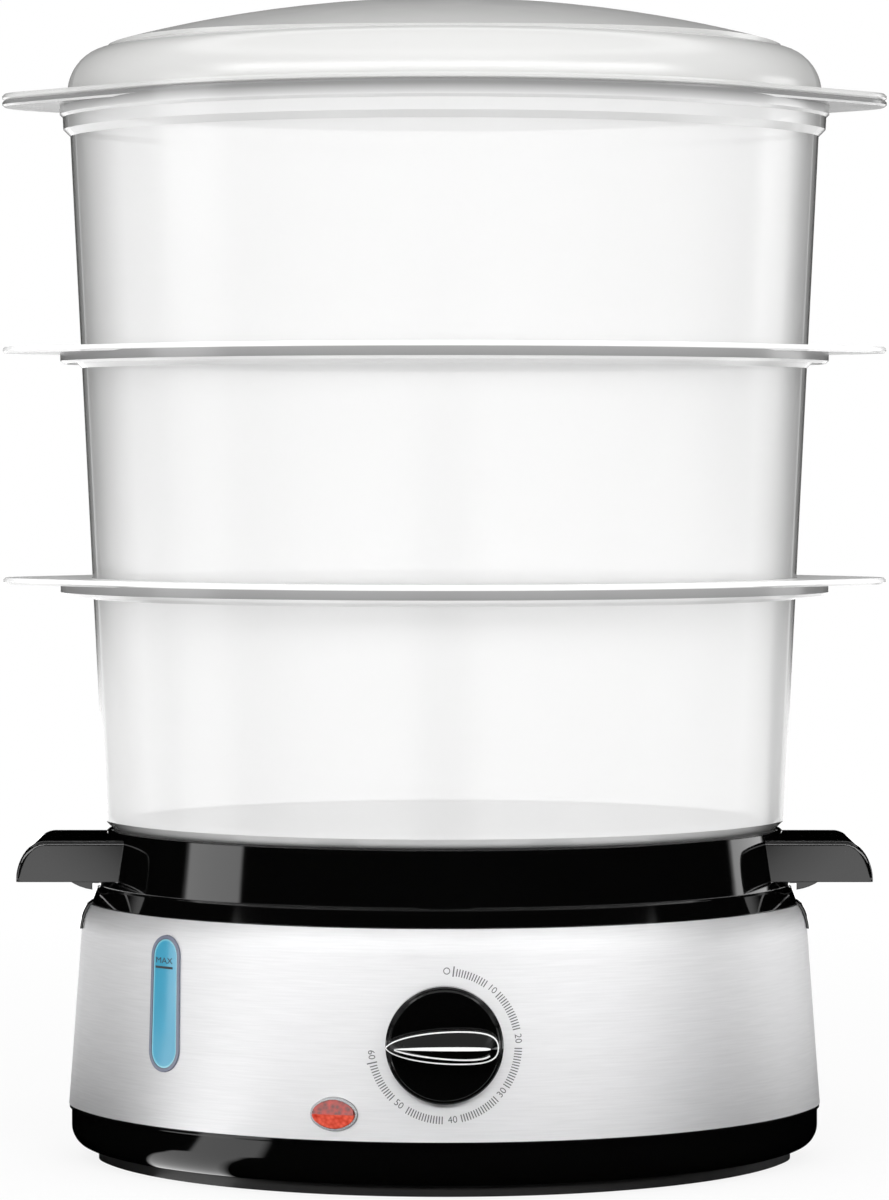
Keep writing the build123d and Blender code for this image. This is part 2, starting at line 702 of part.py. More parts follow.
with BuildPart() as terminal_block:
    with BuildSketch(Plane.XY.offset(HOUSING_BOTTOM)):
        with Locations((INLET_X, TERMINAL_Y)):
            Rectangle(TERMINAL_LENGTH, TERMINAL_WIDTH)
    extrude(amount=TERMINAL_HEIGHT)
    with BuildSketch(Plane.XY.offset(HOUSING_BOTTOM + TERMINAL_HEIGHT)):
        with Locations((INLET_X, TERMINAL_Y)):
            with GridLocations(TERMINAL_LENGTH / TERMINAL_POLES, 0, TERMINAL_POLES, 1):
                Circle(SCREW_RADIUS)
    extrude(amount=-TERMINAL_WIDTH / 2, mode=Mode.SUBTRACT)
finish(terminal_block.part, "terminal_block")


with BuildPart() as cable_inlet:
    with BuildSketch(INLET_PLANE):
        Circle(INLET_FLANGE_RADIUS)
    extrude(amount=INLET_FLANGE)
    chamfer(cable_inlet.faces().sort_by(Axis.Y)[-1].edges(), HEATER_EDGE)
    with BuildSketch(INLET_PLANE):
        Circle(INLET_RADIUS)
    extrude(amount=-WALL_REACH)
    hole_along(INLET_PLANE, INLET_BORE, WALL_REACH)
finish(cable_inlet.part, "cable_inlet")


# ---------------------------------------------------------------- timer


def teardrop(length, width):
    """Outline of the grip: pointed at the left, widest past the middle, blunt at the right."""
    half = length / 2
    belly = (GRIP_BELLY * length, width / 2)
    with BuildLine(mode=Mode.PRIVATE) as outline:
        flank = ThreePointArc((-half, 0), (-GRIP_BELLY * length, GRIP_FULLNESS * width), belly)
        shoulder = TangentArc(belly, (half - width / 4, width / 4), tangent=flank % 1)
        nose = TangentArc(shoulder @ 1, (half, 0), tangent=shoulder % 1)
        mirror(about=Plane.XZ)
    return outline.edges()


with BuildPart() as timer_knob:
    with BuildSketch(KNOB_PLANE.offset(KNOB_GAP)):
        Circle(KNOB_RADIUS)
    extrude(amount=KNOB_BASE_THICKNESS)
    chamfer(timer_knob.faces().sort_by(Axis.Y)[0].edges(), KNOB_BEVEL)
    with BuildSketch(KNOB_PLANE.offset(KNOB_GAP + KNOB_BASE_THICKNESS)):
        make_face(teardrop(GRIP_LENGTH, GRIP_WIDTH))
    extrude(amount=GRIP_RISE - GRIP_ROOF)
    with BuildSketch(KNOB_PLANE.offset(KNOB_GAP + KNOB_BASE_THICKNESS + GRIP_RISE - GRIP_ROOF)):
        make_face(teardrop(GRIP_LENGTH, GRIP_WIDTH))
    with BuildSketch(KNOB_PLANE.offset(KNOB_GAP + KNOB_BASE_THICKNESS + GRIP_RISE)):
        make_face(teardrop(GRIP_CREST_LENGTH, GRIP_CREST_WIDTH))
    loft(ruled=True)
    with BuildSketch(KNOB_PLANE.offset(KNOB_GAP)):
        Circle(SHAFT_RADIUS + SHAFT_CLEARANCE)
    extrude(amount=SHAFT_BITE, mode=Mode.SUBTRACT)
finish(timer_knob.part, "timer_knob")


with BuildPart() as timer_shaft:
    with BuildSketch(KNOB_PLANE.offset(KNOB_GAP + SHAFT_BITE)):
        Circle(SHAFT_RADIUS)
    extrude(amount=SHAFT_TAIL - KNOB_GAP - SHAFT_BITE)
    with BuildSketch(KNOB_PLANE.offset(KNOB_GAP + SHAFT_BITE)):
        with Locations((0, SHAFT_RADIUS - SHAFT_FLAT)):
            Rectangle(2 * SHAFT_RADIUS, SHAFT_RADIUS, align=(Align.CENTER, Align.MIN))
    extrude(amount=-SHAFT_BITE, mode=Mode.SUBTRACT)
finish(timer_shaft.part, "timer_shaft")


with BuildPart() as timer_bracket:
    with BuildSketch(TIMER_PLANE):
        RectangleRounded(2 * BRACKET_HALF_WIDTH, BRACKET_HEIGHT, BOSS_RADIUS)
        Circle(TIMER_NOSE_RADIUS + SCREW_CLEARANCE, mode=Mode.SUBTRACT)
        with timer_screw_places():
            Circle(SCREW_RADIUS + SCREW_CLEARANCE, mode=Mode.SUBTRACT)
    extrude(amount=-BRACKET_THICKNESS)
finish(timer_bracket.part, "timer_bracket")


with BuildPart() as timer_screws:
    with BuildSketch(TIMER_PLANE.offset(-BRACKET_THICKNESS)):
        with timer_screw_places():
            Circle(SCREW_HEAD_RADIUS)
    extrude(amount=-SCREW_HEAD_HEIGHT)
    with BuildSketch(TIMER_PLANE.offset(-BRACKET_THICKNESS)):
        with timer_screw_places():
            Circle(SCREW_RADIUS)
    extrude(amount=TIMER_SCREW_LENGTH)
finish(timer_screws.part, "timer_screws")


with BuildPart() as timer:
    with BuildSketch(TIMER_PLANE.offset(-BRACKET_THICKNESS)):
        RectangleRounded(TIMER_SIZE, TIMER_SIZE, TIMER_CORNER)
    extrude(amount=-TIMER_DEPTH)
    with BuildSketch(TIMER_PLANE.offset(-BRACKET_THICKNESS)):
        Circle(TIMER_NOSE_RADIUS)
    extrude(amount=TIMER_NOSE_LENGTH)
    with BuildSketch(TIMER_PLANE.offset(TIMER_NOSE_LENGTH - BRACKET_THICKNESS)):
        Circle(SHAFT_RADIUS + SHAFT_CLEARANCE)
    extrude(amount=-TIMER_NOSE_LENGTH - TIMER_BORE_DEPTH, mode=Mode.SUBTRACT)
finish(timer.part, "timer")


with BuildPart() as timer_bell:
    with BuildSketch(TIMER_PLANE.offset(-BRACKET_THICKNESS - TIMER_DEPTH)):
        Circle(BELL_RADIUS)
    extrude(amount=-BELL_HEIGHT)
    chamfer(timer_bell.faces().sort_by(Axis.Y)[-1].edges(), BELL_HEIGHT - 2 * BELL_THICKNESS)
    offset(amount=-BELL_THICKNESS, openings=timer_bell.faces().sort_by(Axis.Y)[0])
finish(timer_bell.part, "timer_bell")


# ---------------------------------------------------------------- pilot light

PILOT_SIDE = Plane(origin=PILOT_PLANE.origin, x_dir=PILOT_PLANE.y_dir, z_dir=PILOT_PLANE.x_dir)


with BuildPart() as pilot_lens:
    with BuildSketch(PILOT_PLANE.offset(PILOT_PROUD)):
        pilot_oval(0)
    extrude(amount=-PILOT_PROUD - PILOT_DEPTH)
    with BuildSketch(PILOT_SIDE):
        with BuildLine():
            Polyline(
                (-PILOT_TALL / 2, -PILOT_DEPTH),
                (-PILOT_TALL / 2, PILOT_EDGE),
                (0, PILOT_PROUD),
                (PILOT_TALL / 2, PILOT_EDGE),
                (PILOT_TALL / 2, -PILOT_DEPTH),
                close=True,
            )
        make_face()
    extrude(amount=PILOT_WIDTH, both=True, mode=Mode.INTERSECT)
    with BuildSketch(PILOT_PLANE.offset(-PILOT_DEPTH)):
        pilot_oval(-PILOT_SKIN)
    extrude(amount=PILOT_DEPTH - PILOT_SKIN, mode=Mode.SUBTRACT)
finish(pilot_lens.part, "pilot_lens")


with BuildPart() as pilot_bezel:
    with BuildSketch(PILOT_PLANE.offset(PILOT_EDGE + PILOT_LIP)):
        pilot_oval(PILOT_BEZEL)
        pilot_oval(SCREW_CLEARANCE, Mode.SUBTRACT)
    extrude(amount=-PILOT_EDGE - PILOT_LIP - BEZEL_DEPTH)
finish(pilot_bezel.part, "pilot_bezel")


with BuildPart() as pilot_lamp:
    with BuildSketch(PILOT_PLANE.offset(-PILOT_SKIN - SCREW_CLEARANCE)):
        Circle(LAMP_RADIUS)
    extrude(amount=-LAMP_LENGTH)
    chamfer(pilot_lamp.faces().sort_by(Axis.Y)[0].edges(), LAMP_RADIUS / 3)
finish(pilot_lamp.part, "pilot_lamp")


# ---------------------------------------------------------------- water window


def window_block(outer, inner, margin):
    """Slice of wall between two insets of the band, cut out by the window less a margin."""
    with BuildPart(mode=Mode.PRIVATE) as block:
        with BuildSketch(Plane.XZ):
            band_strip(outer, inner)
        sweep_round()
        window_slot(-margin, WINDOW_REACH, Mode.INTERSECT)
    return block.part


with BuildPart() as window_frame:
    add(window_block(-WINDOW_PROUD, HOUSING_INSET + HOUSING_WALL, 0))
    window_slot(-WINDOW_FRAME, WINDOW_REACH, Mode.SUBTRACT)
finish(window_frame.part, "window_frame")


with BuildPart() as water_window:
    add(window_block(-WINDOW_PROUD / 2, WINDOW_DEPTH, WINDOW_FRAME + SCREW_CLEARANCE))
    add(
        window_block(WINDOW_SKIN, WINDOW_DEPTH - WINDOW_SKIN, WINDOW_FRAME + WINDOW_SKIN),
        mode=Mode.SUBTRACT,
    )
    hole_along(PIPE_PLANE, GAUGE_PIPE_BORE, 2 * WINDOW_SKIN)
finish(water_window.part, "water_window")


with BuildPart() as gauge_pipe:
    with BuildSketch(PIPE_PLANE):
        Circle(GAUGE_PIPE_RADIUS)
        Circle(GAUGE_PIPE_BORE, mode=Mode.SUBTRACT)
    extrude(amount=-PIPE_LENGTH)
finish(gauge_pipe.part, "gauge_pipe")


# ---------------------------------------------------------------- drip tray

TRAY_FOOT_HALF_WIDTH = RING_TOP_HALF_WIDTH - TRAY_FOOT_STEP
SPIGOT_HALF_WIDTH = RING_INNER_HALF_WIDTH - TRAY_SPIGOT_CLEARANCE
HANDLE_REACH = TRAY_FOOT_HALF_WIDTH + HANDLE_LENGTH
GUSSET_ROOT = TRAY_FOOT_HALF_WIDTH + GUSSET_STEP
GUSSET_FOOT = HANDLE_BOTTOM - GUSSET_DROP
GUSSET_TIP = GUSSET_ROOT + GUSSET_REACH
HANDLE_CEILING = HANDLE_TOP - HANDLE_WALL


def tray_core(inset):
    """Tapered solid inside the collar's outer face, moved in by this amount."""
    with BuildPart(mode=Mode.PRIVATE) as core:
        with BuildSketch(Plane.XY.offset(RING_TOP)):
            oval(TRAY_FOOT_HALF_WIDTH - inset)
        with BuildSketch(Plane.XY.offset(TRAY_TOP)):
            oval(TRAY_TOP_HALF_WIDTH - inset)
        loft(ruled=True)
    return core.part


with BuildPart() as tray_handle:
    with BuildSketch(Plane.XZ):
        with BuildLine():
            nose = HANDLE_REACH - HANDLE_NOSE
            rise = HANDLE_TOP - HANDLE_BOTTOM
            Line((END_CENTRE, HANDLE_BOTTOM), (HANDLE_REACH, HANDLE_BOTTOM))
            EllipticalCenterArc((nose, HANDLE_BOTTOM), HANDLE_NOSE, rise, arc_size=QUARTER_TURN)
            Line((nose, HANDLE_TOP), (END_CENTRE, HANDLE_TOP))
            Line((END_CENTRE, HANDLE_TOP), (END_CENTRE, HANDLE_BOTTOM))
        make_face()
    extrude(amount=HANDLE_HALF_DEPTH, both=True)
    top_face = tray_handle.faces().filter_by(Axis.Z).sort_by(Axis.Z)[-1]
    nose_face = tray_handle.faces().filter_by(Axis.Z, reverse=True).sort_by(Axis.X)[-1]
    rim = top_face.edges().filter_by(Axis.X) + nose_face.edges().filter_by(Axis.Y, reverse=True)
    fillet(rim, HANDLE_EDGE)
    shell_faces = tray_handle.faces().filter_by(Axis.Z).sort_by(Axis.Z)[:1]
    offset(amount=-HANDLE_WALL, openings=shell_faces)
    with BuildSketch(Plane.XZ):
        with BuildLine():
            Polyline(
                (TRAY_FOOT_HALF_WIDTH, HANDLE_CEILING),
                (TRAY_FOOT_HALF_WIDTH, RING_TOP + GUSSET_GAP),
                (GUSSET_ROOT, RING_TOP + GUSSET_GAP),
                (GUSSET_ROOT, GUSSET_FOOT),
            )
            ThreePointArc(
                (GUSSET_ROOT, GUSSET_FOOT),
                (GUSSET_ROOT + GUSSET_SAG * GUSSET_REACH, HANDLE_BOTTOM - GUSSET_SAG * GUSSET_DROP),
                (GUSSET_TIP, HANDLE_BOTTOM),
            )
            Line((GUSSET_TIP, HANDLE_BOTTOM), (TRAY_FOOT_HALF_WIDTH, HANDLE_CEILING))
        make_face()
    extrude(amount=GUSSET_THICKNESS, both=True)
    add(tray_core(TRAY_WALL / 2), mode=Mode.SUBTRACT)


with BuildPart() as drip_tray:
    with BuildSketch(Plane.XZ) as section:
        with BuildLine():
            Polyline(
                (TRAY_FOOT_HALF_WIDTH, RING_TOP),
                (TRAY_TOP_HALF_WIDTH, TRAY_TOP),
                (TRAY_TOP_HALF_WIDTH - TRAY_LEDGE, TRAY_TOP),
                (TRAY_TOP_HALF_WIDTH - TRAY_LEDGE, TRAY_TOP - TRAY_WALL),
                (TRAY_TOP_HALF_WIDTH - TRAY_WALL, TRAY_TOP - TRAY_WALL),
                (TRAY_FOOT_HALF_WIDTH - TRAY_WALL, RING_TOP),
                close=True,
            )
        make_face()
        chamfer(corner(section, TRAY_TOP_HALF_WIDTH, TRAY_TOP), RING_EDGE)
    sweep_round()
    oval_slab(TRAY_FOOT_HALF_WIDTH - TRAY_WALL / 2, RING_TOP, TRAY_WALL)
    oval_slab(SPIGOT_HALF_WIDTH, RING_TOP - TRAY_SPIGOT_DEPTH, TRAY_SPIGOT_DEPTH)
    oval_slab(
        SPIGOT_HALF_WIDTH - TRAY_WALL,
        RING_TOP - TRAY_SPIGOT_DEPTH,
        TRAY_SPIGOT_DEPTH,
        Mode.SUBTRACT,
    )
    with BuildSketch(Plane.XY.offset(RING_TOP)):
        Circle(TOWER_RADIUS)
    extrude(amount=TRAY_WALL + TOWER_HEIGHT)
    chamfer(
        drip_tray.edges().filter_by(GeomType.CIRCLE).group_by(Axis.Z)[-1].sort_by(SortBy.RADIUS)[0],
        TOWER_EDGE,
    )
    with BuildSketch(Plane.XY.offset(RING_TOP)):
        Circle(TOWER_RADIUS - TRAY_WALL)
    extrude(amount=TOWER_HEIGHT, mode=Mode.SUBTRACT)
    with BuildSketch(Plane.XY.offset(RING_TOP + TRAY_WALL + TOWER_SILL)):
        with PolarLocations(TOWER_RADIUS, TOWER_WINDOWS):
            Rectangle(3 * TRAY_WALL, TOWER_WINDOW_WIDTH)
    extrude(amount=TOWER_WINDOW_HEIGHT, mode=Mode.SUBTRACT)
    add(tray_handle.part)
    add(mirror(tray_handle.part, about=Plane.YZ, mode=Mode.PRIVATE))
finish(drip_tray.part, "drip_tray")


# ---------------------------------------------------------------- baskets

BASKET_LEAN = tan(radians(BASKET_DRAFT))
BASKET_FOOT_HALF_WIDTH = TRAY_TOP_HALF_WIDTH + BASKET_FOOT_OVERHANG
BASKET_FLANGE_HALF_WIDTH = BASKET_FOOT_HALF_WIDTH - BASKET_FLANGE
VENT_HALF_WIDTH = BASKET_FOOT_HALF_WIDTH - VENT_INSET
FLOOR_HALF_WIDTH = VENT_HALF_WIDTH - VENT_WIDTH - FLOOR_GAP


def basket_foot(tier):
    """Half width of this tier's wall at its own bottom, if its corner were square."""
    return BASKET_FOOT_HALF_WIDTH + (tier - 1) * TIER_PITCH * BASKET_LEAN


def basket_bottom(tier):
    """Height of the bottom of this tier's basket."""
    return TRAY_TOP + (tier - 1) * TIER_PITCH


def basket_top(tier):
    """Height of the top of this tier's rim; the top basket is a little deeper than the others."""
    extra = TOP_BASKET_EXTRA if tier == TIERS[-1] else 0
    return basket_bottom(tier) + TIER_PITCH + NEST_DEPTH + extra


def wall_point(tier, height, growth):
    """Point on the wall line of this tier, moved out by growth."""
    return (basket_foot(tier) + (height - basket_bottom(tier)) * BASKET_LEAN + growth, height)


def seat_point(tier, wall_growth, cone_growth):
    """Where the seat for the next tier's bevelled corner meets the wall line of this one."""
    gap = (SEAT_CLEARANCE + cone_growth) / sqrt(2)
    cone_width = basket_foot(tier + 1) - BASKET_EDGE / 2 + gap
    cone_height = basket_bottom(tier + 1) + BASKET_EDGE / 2 - gap
    wall_width = wall_point(tier, cone_height, wall_growth)[0]
    climb = (wall_width - cone_width) / (1 - BASKET_LEAN)
    return (cone_width + climb, cone_height + climb)


LID_BOTTOM = basket_top(TIERS[-1])
RIM_HALF_WIDTH = wall_point(TIERS[-1], LID_BOTTOM, RIM_OVERHANG)[0]
EAR_REACH = RIM_HALF_WIDTH + EAR_LENGTH


def eared_plate(half_width, bottom, thickness):
    """Flat oval plate with a rounded ear at each end."""
    with BuildPart(mode=Mode.PRIVATE) as plate:
        with BuildSketch(Plane.XY.offset(bottom)):
            oval(half_width)
            with GridLocations(2 * (EAR_REACH - EAR_TIP_RADIUS), 0, 2, 1):
                Circle(EAR_TIP_RADIUS)
            make_hull()
        extrude(amount=thickness)
        chamfer(plate.edges().group_by(Axis.Z)[0] + plate.edges().group_by(Axis.Z)[-1], EAR_EDGE)
    return plate.part


def make_basket(tier):
    """Tapered basket wall with its bottom flange, seat, skirted rim and ears."""
    bottom = basket_bottom(tier)
    top = basket_top(tier)
    plate_bottom = top - RIM_THICKNESS
    with BuildPart() as basket:
        add(eared_plate(RIM_HALF_WIDTH, plate_bottom, RIM_THICKNESS))
        oval_slab(wall_point(tier, top, BASKET_WALL / 2)[0], plate_bottom, RIM_THICKNESS, Mode.SUBTRACT)
        with BuildSketch(Plane.XZ) as section:
            with BuildLine():
                Polyline(
                    (BASKET_FLANGE_HALF_WIDTH, bottom),
                    wall_point(tier, bottom, 0),
                    seat_point(tier, 0, BASKET_WALL),
                    seat_point(tier, SEAT_CLEARANCE + BASKET_WALL, BASKET_WALL),
                    wall_point(tier, top - EAR_EDGE, SEAT_CLEARANCE + BASKET_WALL),
                    wall_point(tier, top, SEAT_CLEARANCE + BASKET_WALL - EAR_EDGE),
                    wall_point(tier, top, SEAT_CLEARANCE),
                    seat_point(tier, SEAT_CLEARANCE, 0),
                    seat_point(tier, -BASKET_WALL, 0),
                    wall_point(tier, bottom + BASKET_WALL, -BASKET_WALL),
                    (BASKET_FLANGE_HALF_WIDTH, bottom + BASKET_WALL),
                    close=True,
                )
            make_face()
            chamfer(corner(section, *wall_point(tier, bottom, 0)), BASKET_EDGE)
            chamfer(
                corner(section, *wall_point(tier, bottom + BASKET_WALL, -BASKET_WALL)),
                BASKET_EDGE - BASKET_WALL / 2,
            )
        sweep_round()
        with BuildSketch(Plane.XZ) as skirt:
            with Locations((RIM_HALF_WIDTH, plate_bottom - SKIRT_DROP)):
                Rectangle(SKIRT_WALL, SKIRT_DROP + RIM_THICKNESS - EAR_EDGE, align=(Align.MAX, Align.MIN))
            chamfer(corner(skirt, RIM_HALF_WIDTH, plate_bottom - SKIRT_DROP), SKIRT_EDGE)
        sweep_round()
        with BuildSketch(Plane.XY.offset(bottom)):
            Rectangle(VENT_MIDDLE_LENGTH, 2 * OVAL_HALF_DEPTH)
            with GridLocations(2 * VENT_SIDE_X, 0, 2, 1):
                Rectangle(VENT_SIDE_LENGTH, 2 * OVAL_HALF_DEPTH)
            oval(VENT_HALF_WIDTH, mode=Mode.INTERSECT)
            oval(VENT_HALF_WIDTH - VENT_WIDTH, mode=Mode.SUBTRACT)
        extrude(amount=BASKET_WALL, mode=Mode.SUBTRACT)
    return basket.part


def floor_slot_places():
    """Centres of the floor slots that lie wholly inside the floor's margin."""
    inside = FLOOR_HALF_WIDTH - FLOOR_MARGIN
    grid = GridLocations(FLOOR_SLOT_PITCH_X, FLOOR_SLOT_PITCH_Y, FLOOR_COLUMNS, FLOOR_ROWS)
    return [
        place
        for place in grid
        if abs(place.position.X) + FLOOR_SLOT_LENGTH / 2 < inside
        and abs(place.position.Y) < wall_y(inside, abs(place.position.X) + FLOOR_SLOT_LENGTH / 2)
    ]


def make_floor(tier):
    """Loose perforated floor that lies on the flange of this tier's basket."""
    bottom = basket_bottom(tier) + BASKET_WALL
    with BuildPart() as floor:
        oval_slab(FLOOR_HALF_WIDTH, bottom, FLOOR_THICKNESS)
        with BuildSketch(Plane.XY.offset(bottom)):
            with Locations(*floor_slot_places()):
                Rectangle(FLOOR_SLOT_LENGTH, FLOOR_SLOT_WIDTH)
        extrude(amount=FLOOR_THICKNESS, mode=Mode.SUBTRACT)
    return floor.part


for tier in TIERS:
    finish(make_basket(tier), f"basket_{tier}")
    finish(make_floor(tier), f"floor_{tier}")


# ---------------------------------------------------------------- lid

LID_FLANGE_HALF_WIDTH = RIM_HALF_WIDTH - LID_RIM_STEP
LID_FOOT_HALF_WIDTH = LID_FLANGE_HALF_WIDTH - LID_FLANGE_LAND
LID_CREASE_HALF_WIDTH = LID_FOOT_HALF_WIDTH - LID_SHOULDER_WIDTH
LID_CREASE = LID_BOTTOM + LID_SHOULDER_RISE
LID_RIB_HALF_WIDTH = wall_point(TIERS[-1], LID_BOTTOM, SEAT_CLEARANCE)[0] - LID_RIB_CLEARANCE
CROWN_HALF_DEPTH = wall_y(LID_CREASE_HALF_WIDTH, 0)
CROWN_RISE = LID_CROWN_RISE - LID_CREASE_STEP
CROWN_SIDE_RADIUS = (CROWN_HALF_DEPTH**2 + CROWN_RISE**2) / (2 * CROWN_RISE)


def lid_crown(drop):
    """Shallow dome that rises from a small step at the crease, lowered and moved in by this amount."""
    half_width = LID_CREASE_HALF_WIDTH
    edge = LID_CREASE + LID_CREASE_STEP - drop
    apex = edge + CROWN_RISE
    axis_height = apex - CROWN_SIDE_RADIUS
    with BuildPart(mode=Mode.PRIVATE) as crown:
        with BuildSketch(Plane.XZ):
            with BuildLine():
                ThreePointArc((-half_width, edge), (0, apex), (half_width, edge))
                Line((half_width, edge), (half_width, axis_height))
                Line((half_width, axis_height), (-half_width, axis_height))
                Line((-half_width, axis_height), (-half_width, edge))
            make_face()
        revolve(axis=Axis((0, 0, axis_height), (1, 0, 0)))
        with BuildSketch(Plane.XY.offset(LID_CREASE - drop)):
            oval(half_width - LID_CREASE_STEP - drop)
        extrude(amount=2 * LID_CROWN_RISE, mode=Mode.INTERSECT)
    return crown.part


with BuildPart() as lid:
    add(eared_plate(LID_FLANGE_HALF_WIDTH, LID_BOTTOM, LID_FLANGE_THICKNESS))
    oval_slab(LID_FOOT_HALF_WIDTH - LID_WALL, LID_BOTTOM, LID_FLANGE_THICKNESS, Mode.SUBTRACT)
    add(lid_crown(0))
    oval_slab(LID_CREASE_HALF_WIDTH, LID_CREASE - LID_WALL, LID_WALL)
    add(lid_crown(LID_WALL), mode=Mode.SUBTRACT)
    with BuildSketch(Plane.XZ):
        with BuildLine():
            middle = (
                (LID_FOOT_HALF_WIDTH + LID_CREASE_HALF_WIDTH) / 2 + LID_BULGE,
                LID_BOTTOM + LID_SHOULDER_RISE / 2 + LID_BULGE,
            )
            ThreePointArc(
                (LID_FOOT_HALF_WIDTH, LID_BOTTOM),
                middle,
                (LID_CREASE_HALF_WIDTH, LID_CREASE),
            )
            Line((LID_CREASE_HALF_WIDTH, LID_CREASE), (LID_CREASE_HALF_WIDTH - LID_WALL, LID_CREASE))
            Line(
                (LID_CREASE_HALF_WIDTH - LID_WALL, LID_CREASE),
                (LID_CREASE_HALF_WIDTH - LID_WALL, LID_CREASE - LID_WALL),
            )
            Polyline(
                (LID_CREASE_HALF_WIDTH - LID_WALL, LID_CREASE - LID_WALL),
                (middle[0] - LID_WALL, middle[1] - LID_WALL / 2),
                (LID_FOOT_HALF_WIDTH - LID_WALL, LID_BOTTOM),
                (LID_FOOT_HALF_WIDTH, LID_BOTTOM),
            )
        make_face()
    sweep_round()
    with BuildSketch(Plane.XZ):
        with Locations((LID_RIB_HALF_WIDTH, LID_BOTTOM - LID_RIB_DROP)):
            Rectangle(LID_RIB_WALL, LID_RIB_DROP + LID_WALL, align=(Align.MAX, Align.MIN))
    sweep_round()
    with BuildSketch(Plane.XY.offset(LID_CREASE)):
        with PolarLocations(LID_VENT_CIRCLE, LID_VENTS):
            Circle(LID_VENT_RADIUS)
    extrude(amount=2 * LID_CROWN_RISE, mode=Mode.SUBTRACT)
finish(lid.part, "lid")
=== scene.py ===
"""Finishes, printed dial, knob, studio and camera of the three-tier electric food steamer."""

from math import pi, radians

import bmesh
import bpy
from mathutils import Matrix, Vector


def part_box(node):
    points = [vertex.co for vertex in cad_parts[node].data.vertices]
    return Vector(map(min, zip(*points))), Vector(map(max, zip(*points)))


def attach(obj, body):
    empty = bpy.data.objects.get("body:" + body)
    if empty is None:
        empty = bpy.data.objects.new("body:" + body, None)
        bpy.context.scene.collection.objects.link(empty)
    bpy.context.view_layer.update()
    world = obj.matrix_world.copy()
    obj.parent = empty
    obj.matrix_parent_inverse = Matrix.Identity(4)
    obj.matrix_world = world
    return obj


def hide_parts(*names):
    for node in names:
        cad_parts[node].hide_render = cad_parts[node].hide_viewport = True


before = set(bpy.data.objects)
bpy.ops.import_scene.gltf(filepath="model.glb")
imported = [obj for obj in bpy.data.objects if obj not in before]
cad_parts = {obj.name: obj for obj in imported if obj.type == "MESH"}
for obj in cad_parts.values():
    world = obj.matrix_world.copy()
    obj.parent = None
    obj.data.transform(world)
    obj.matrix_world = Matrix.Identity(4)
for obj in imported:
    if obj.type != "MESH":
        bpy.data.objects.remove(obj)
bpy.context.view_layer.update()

bl_info = {
    "name": "Food Steamer Looks",
    "version": (1, 0, 0),
    "blender": (4, 5, 0),
    "location": "View3D > Sidebar > Steamer",
    "description": "Dresses the packed food steamer with its finishes, dial, knob and studio",
    "category": "Object",
}

MM = 0.001
# A print is drawn this far in front of what carries it, then pushed back onto it
IN_FRONT = 10 * MM
# Capitals of the built-in font are this share of the text's size
CAPITAL_SHARE = 0.69


# ---------------------------------------------------------------- sizes and colours


def linear(hex_colour):
    """Linear red, green, blue and alpha of an sRGB hex colour."""
    channels = [int(hex_colour[i : i + 2], 16) / 255 for i in (1, 3, 5)]
    return [c / 12.92 if c <= 0.04045 else ((c + 0.055) / 1.055) ** 2.4 for c in channels] + [1.0]


def length(name, description, millimetres):
    """Length property with its default in millimetres."""
    return bpy.props.FloatProperty(
        name=name, description=description, default=millimetres * MM, unit="LENGTH", subtype="DISTANCE"
    )


def colour(name, description, hex_colour):
    """Colour property with its default as an sRGB hex value."""
    return bpy.props.FloatVectorProperty(
        name=name, description=description, default=linear(hex_colour), size=4, subtype="COLOR", min=0, max=1
    )


class SteamerSizes(bpy.types.PropertyGroup):
    """Sizes of the pieces and patterns that are made here."""

    tick_inner: length("Tick inner radius", "Inner end of the dial's ticks", 22.8)
    tick_outer: length("Tick outer radius", "Outer end of the dial's ticks", 25.3)
    tick_width: length("Tick width", "Width of one tick", 0.36)
    digit_height: length("Digit height", "Height of the dial's numbers", 2.2)
    print_thickness: length("Print thickness", "How far print stands off what carries it", 0.05)
    mark_height: length("Water mark height", "Height of the highest water mark above the table", 72.0)
    knob_rim: length("Knob rim", "Width of the two fine steps round the knob", 1.5)
    # Width of the painted edge highlight lines on the grip
    line_width: length("Knob line width", "Width of the white lines on the grip", 0.56)
    edge_radius: length("Edge radius", "Radius that catches light along the moulded edges", 0.45)
    streak_pitch: length("Brushing pitch", "Distance between brushing streaks on the steel", 0.6)
    streak_length: length("Brushing length", "Length of one brushing streak on the steel", 15.0)


class SteamerColours(bpy.types.PropertyGroup):
    """Colours of the finishes."""

    black: colour("Black plastic", "Moulded black ABS", "#040404")
    steel: colour("Steel", "Brushed stainless steel", "#E4E4E5")
    clear: colour("Clear plastic", "Milky clear polypropylene", "#FAFAFA")
    # Painted shade: the clear plastic's colour at its silhouettes
    clear_edge: colour("Clear plastic edge", "The plastic where a long way through it greys it", "#7A7A79")
    lid: colour("Lid plastic", "Milky polypropylene of the lid", "#D8D8D7")
    print_grey: colour("Print", "Screen print on the steel", "#565859")
    # White of the printed pointer and of the painted edge highlights on the grip
    line_white: colour("Knob lines", "White lines on the grip", "#F4F4F4")
    # Painted light on the pilot lens: the lower facet is painted lit, the upper facet painted in shade
    lens_lit: colour("Pilot lens", "Transparent red plastic, its lower facet", "#EE6A54")
    lens_dark: colour("Pilot lens top", "The same plastic, its upper facet", "#3A0806")
    window_blue: colour("Water window", "Transparent blue plastic", "#46A0C0")
    # Painted highlight along the water window's edge
    window_edge: colour("Water window edge", "The same plastic along its moulded edge", "#8FD2E0")


def sizes():
    """The size settings."""
    return bpy.context.scene.steamer_sizes


def colours():
    """The colour settings."""
    return bpy.context.scene.steamer_colours


# ---------------------------------------------------------------- materials


def new_material(name):
    """Empty node material and its tree."""
    material = bpy.data.materials.new(name)
    material.use_nodes = True
    material.node_tree.nodes.clear()
    return material, material.node_tree


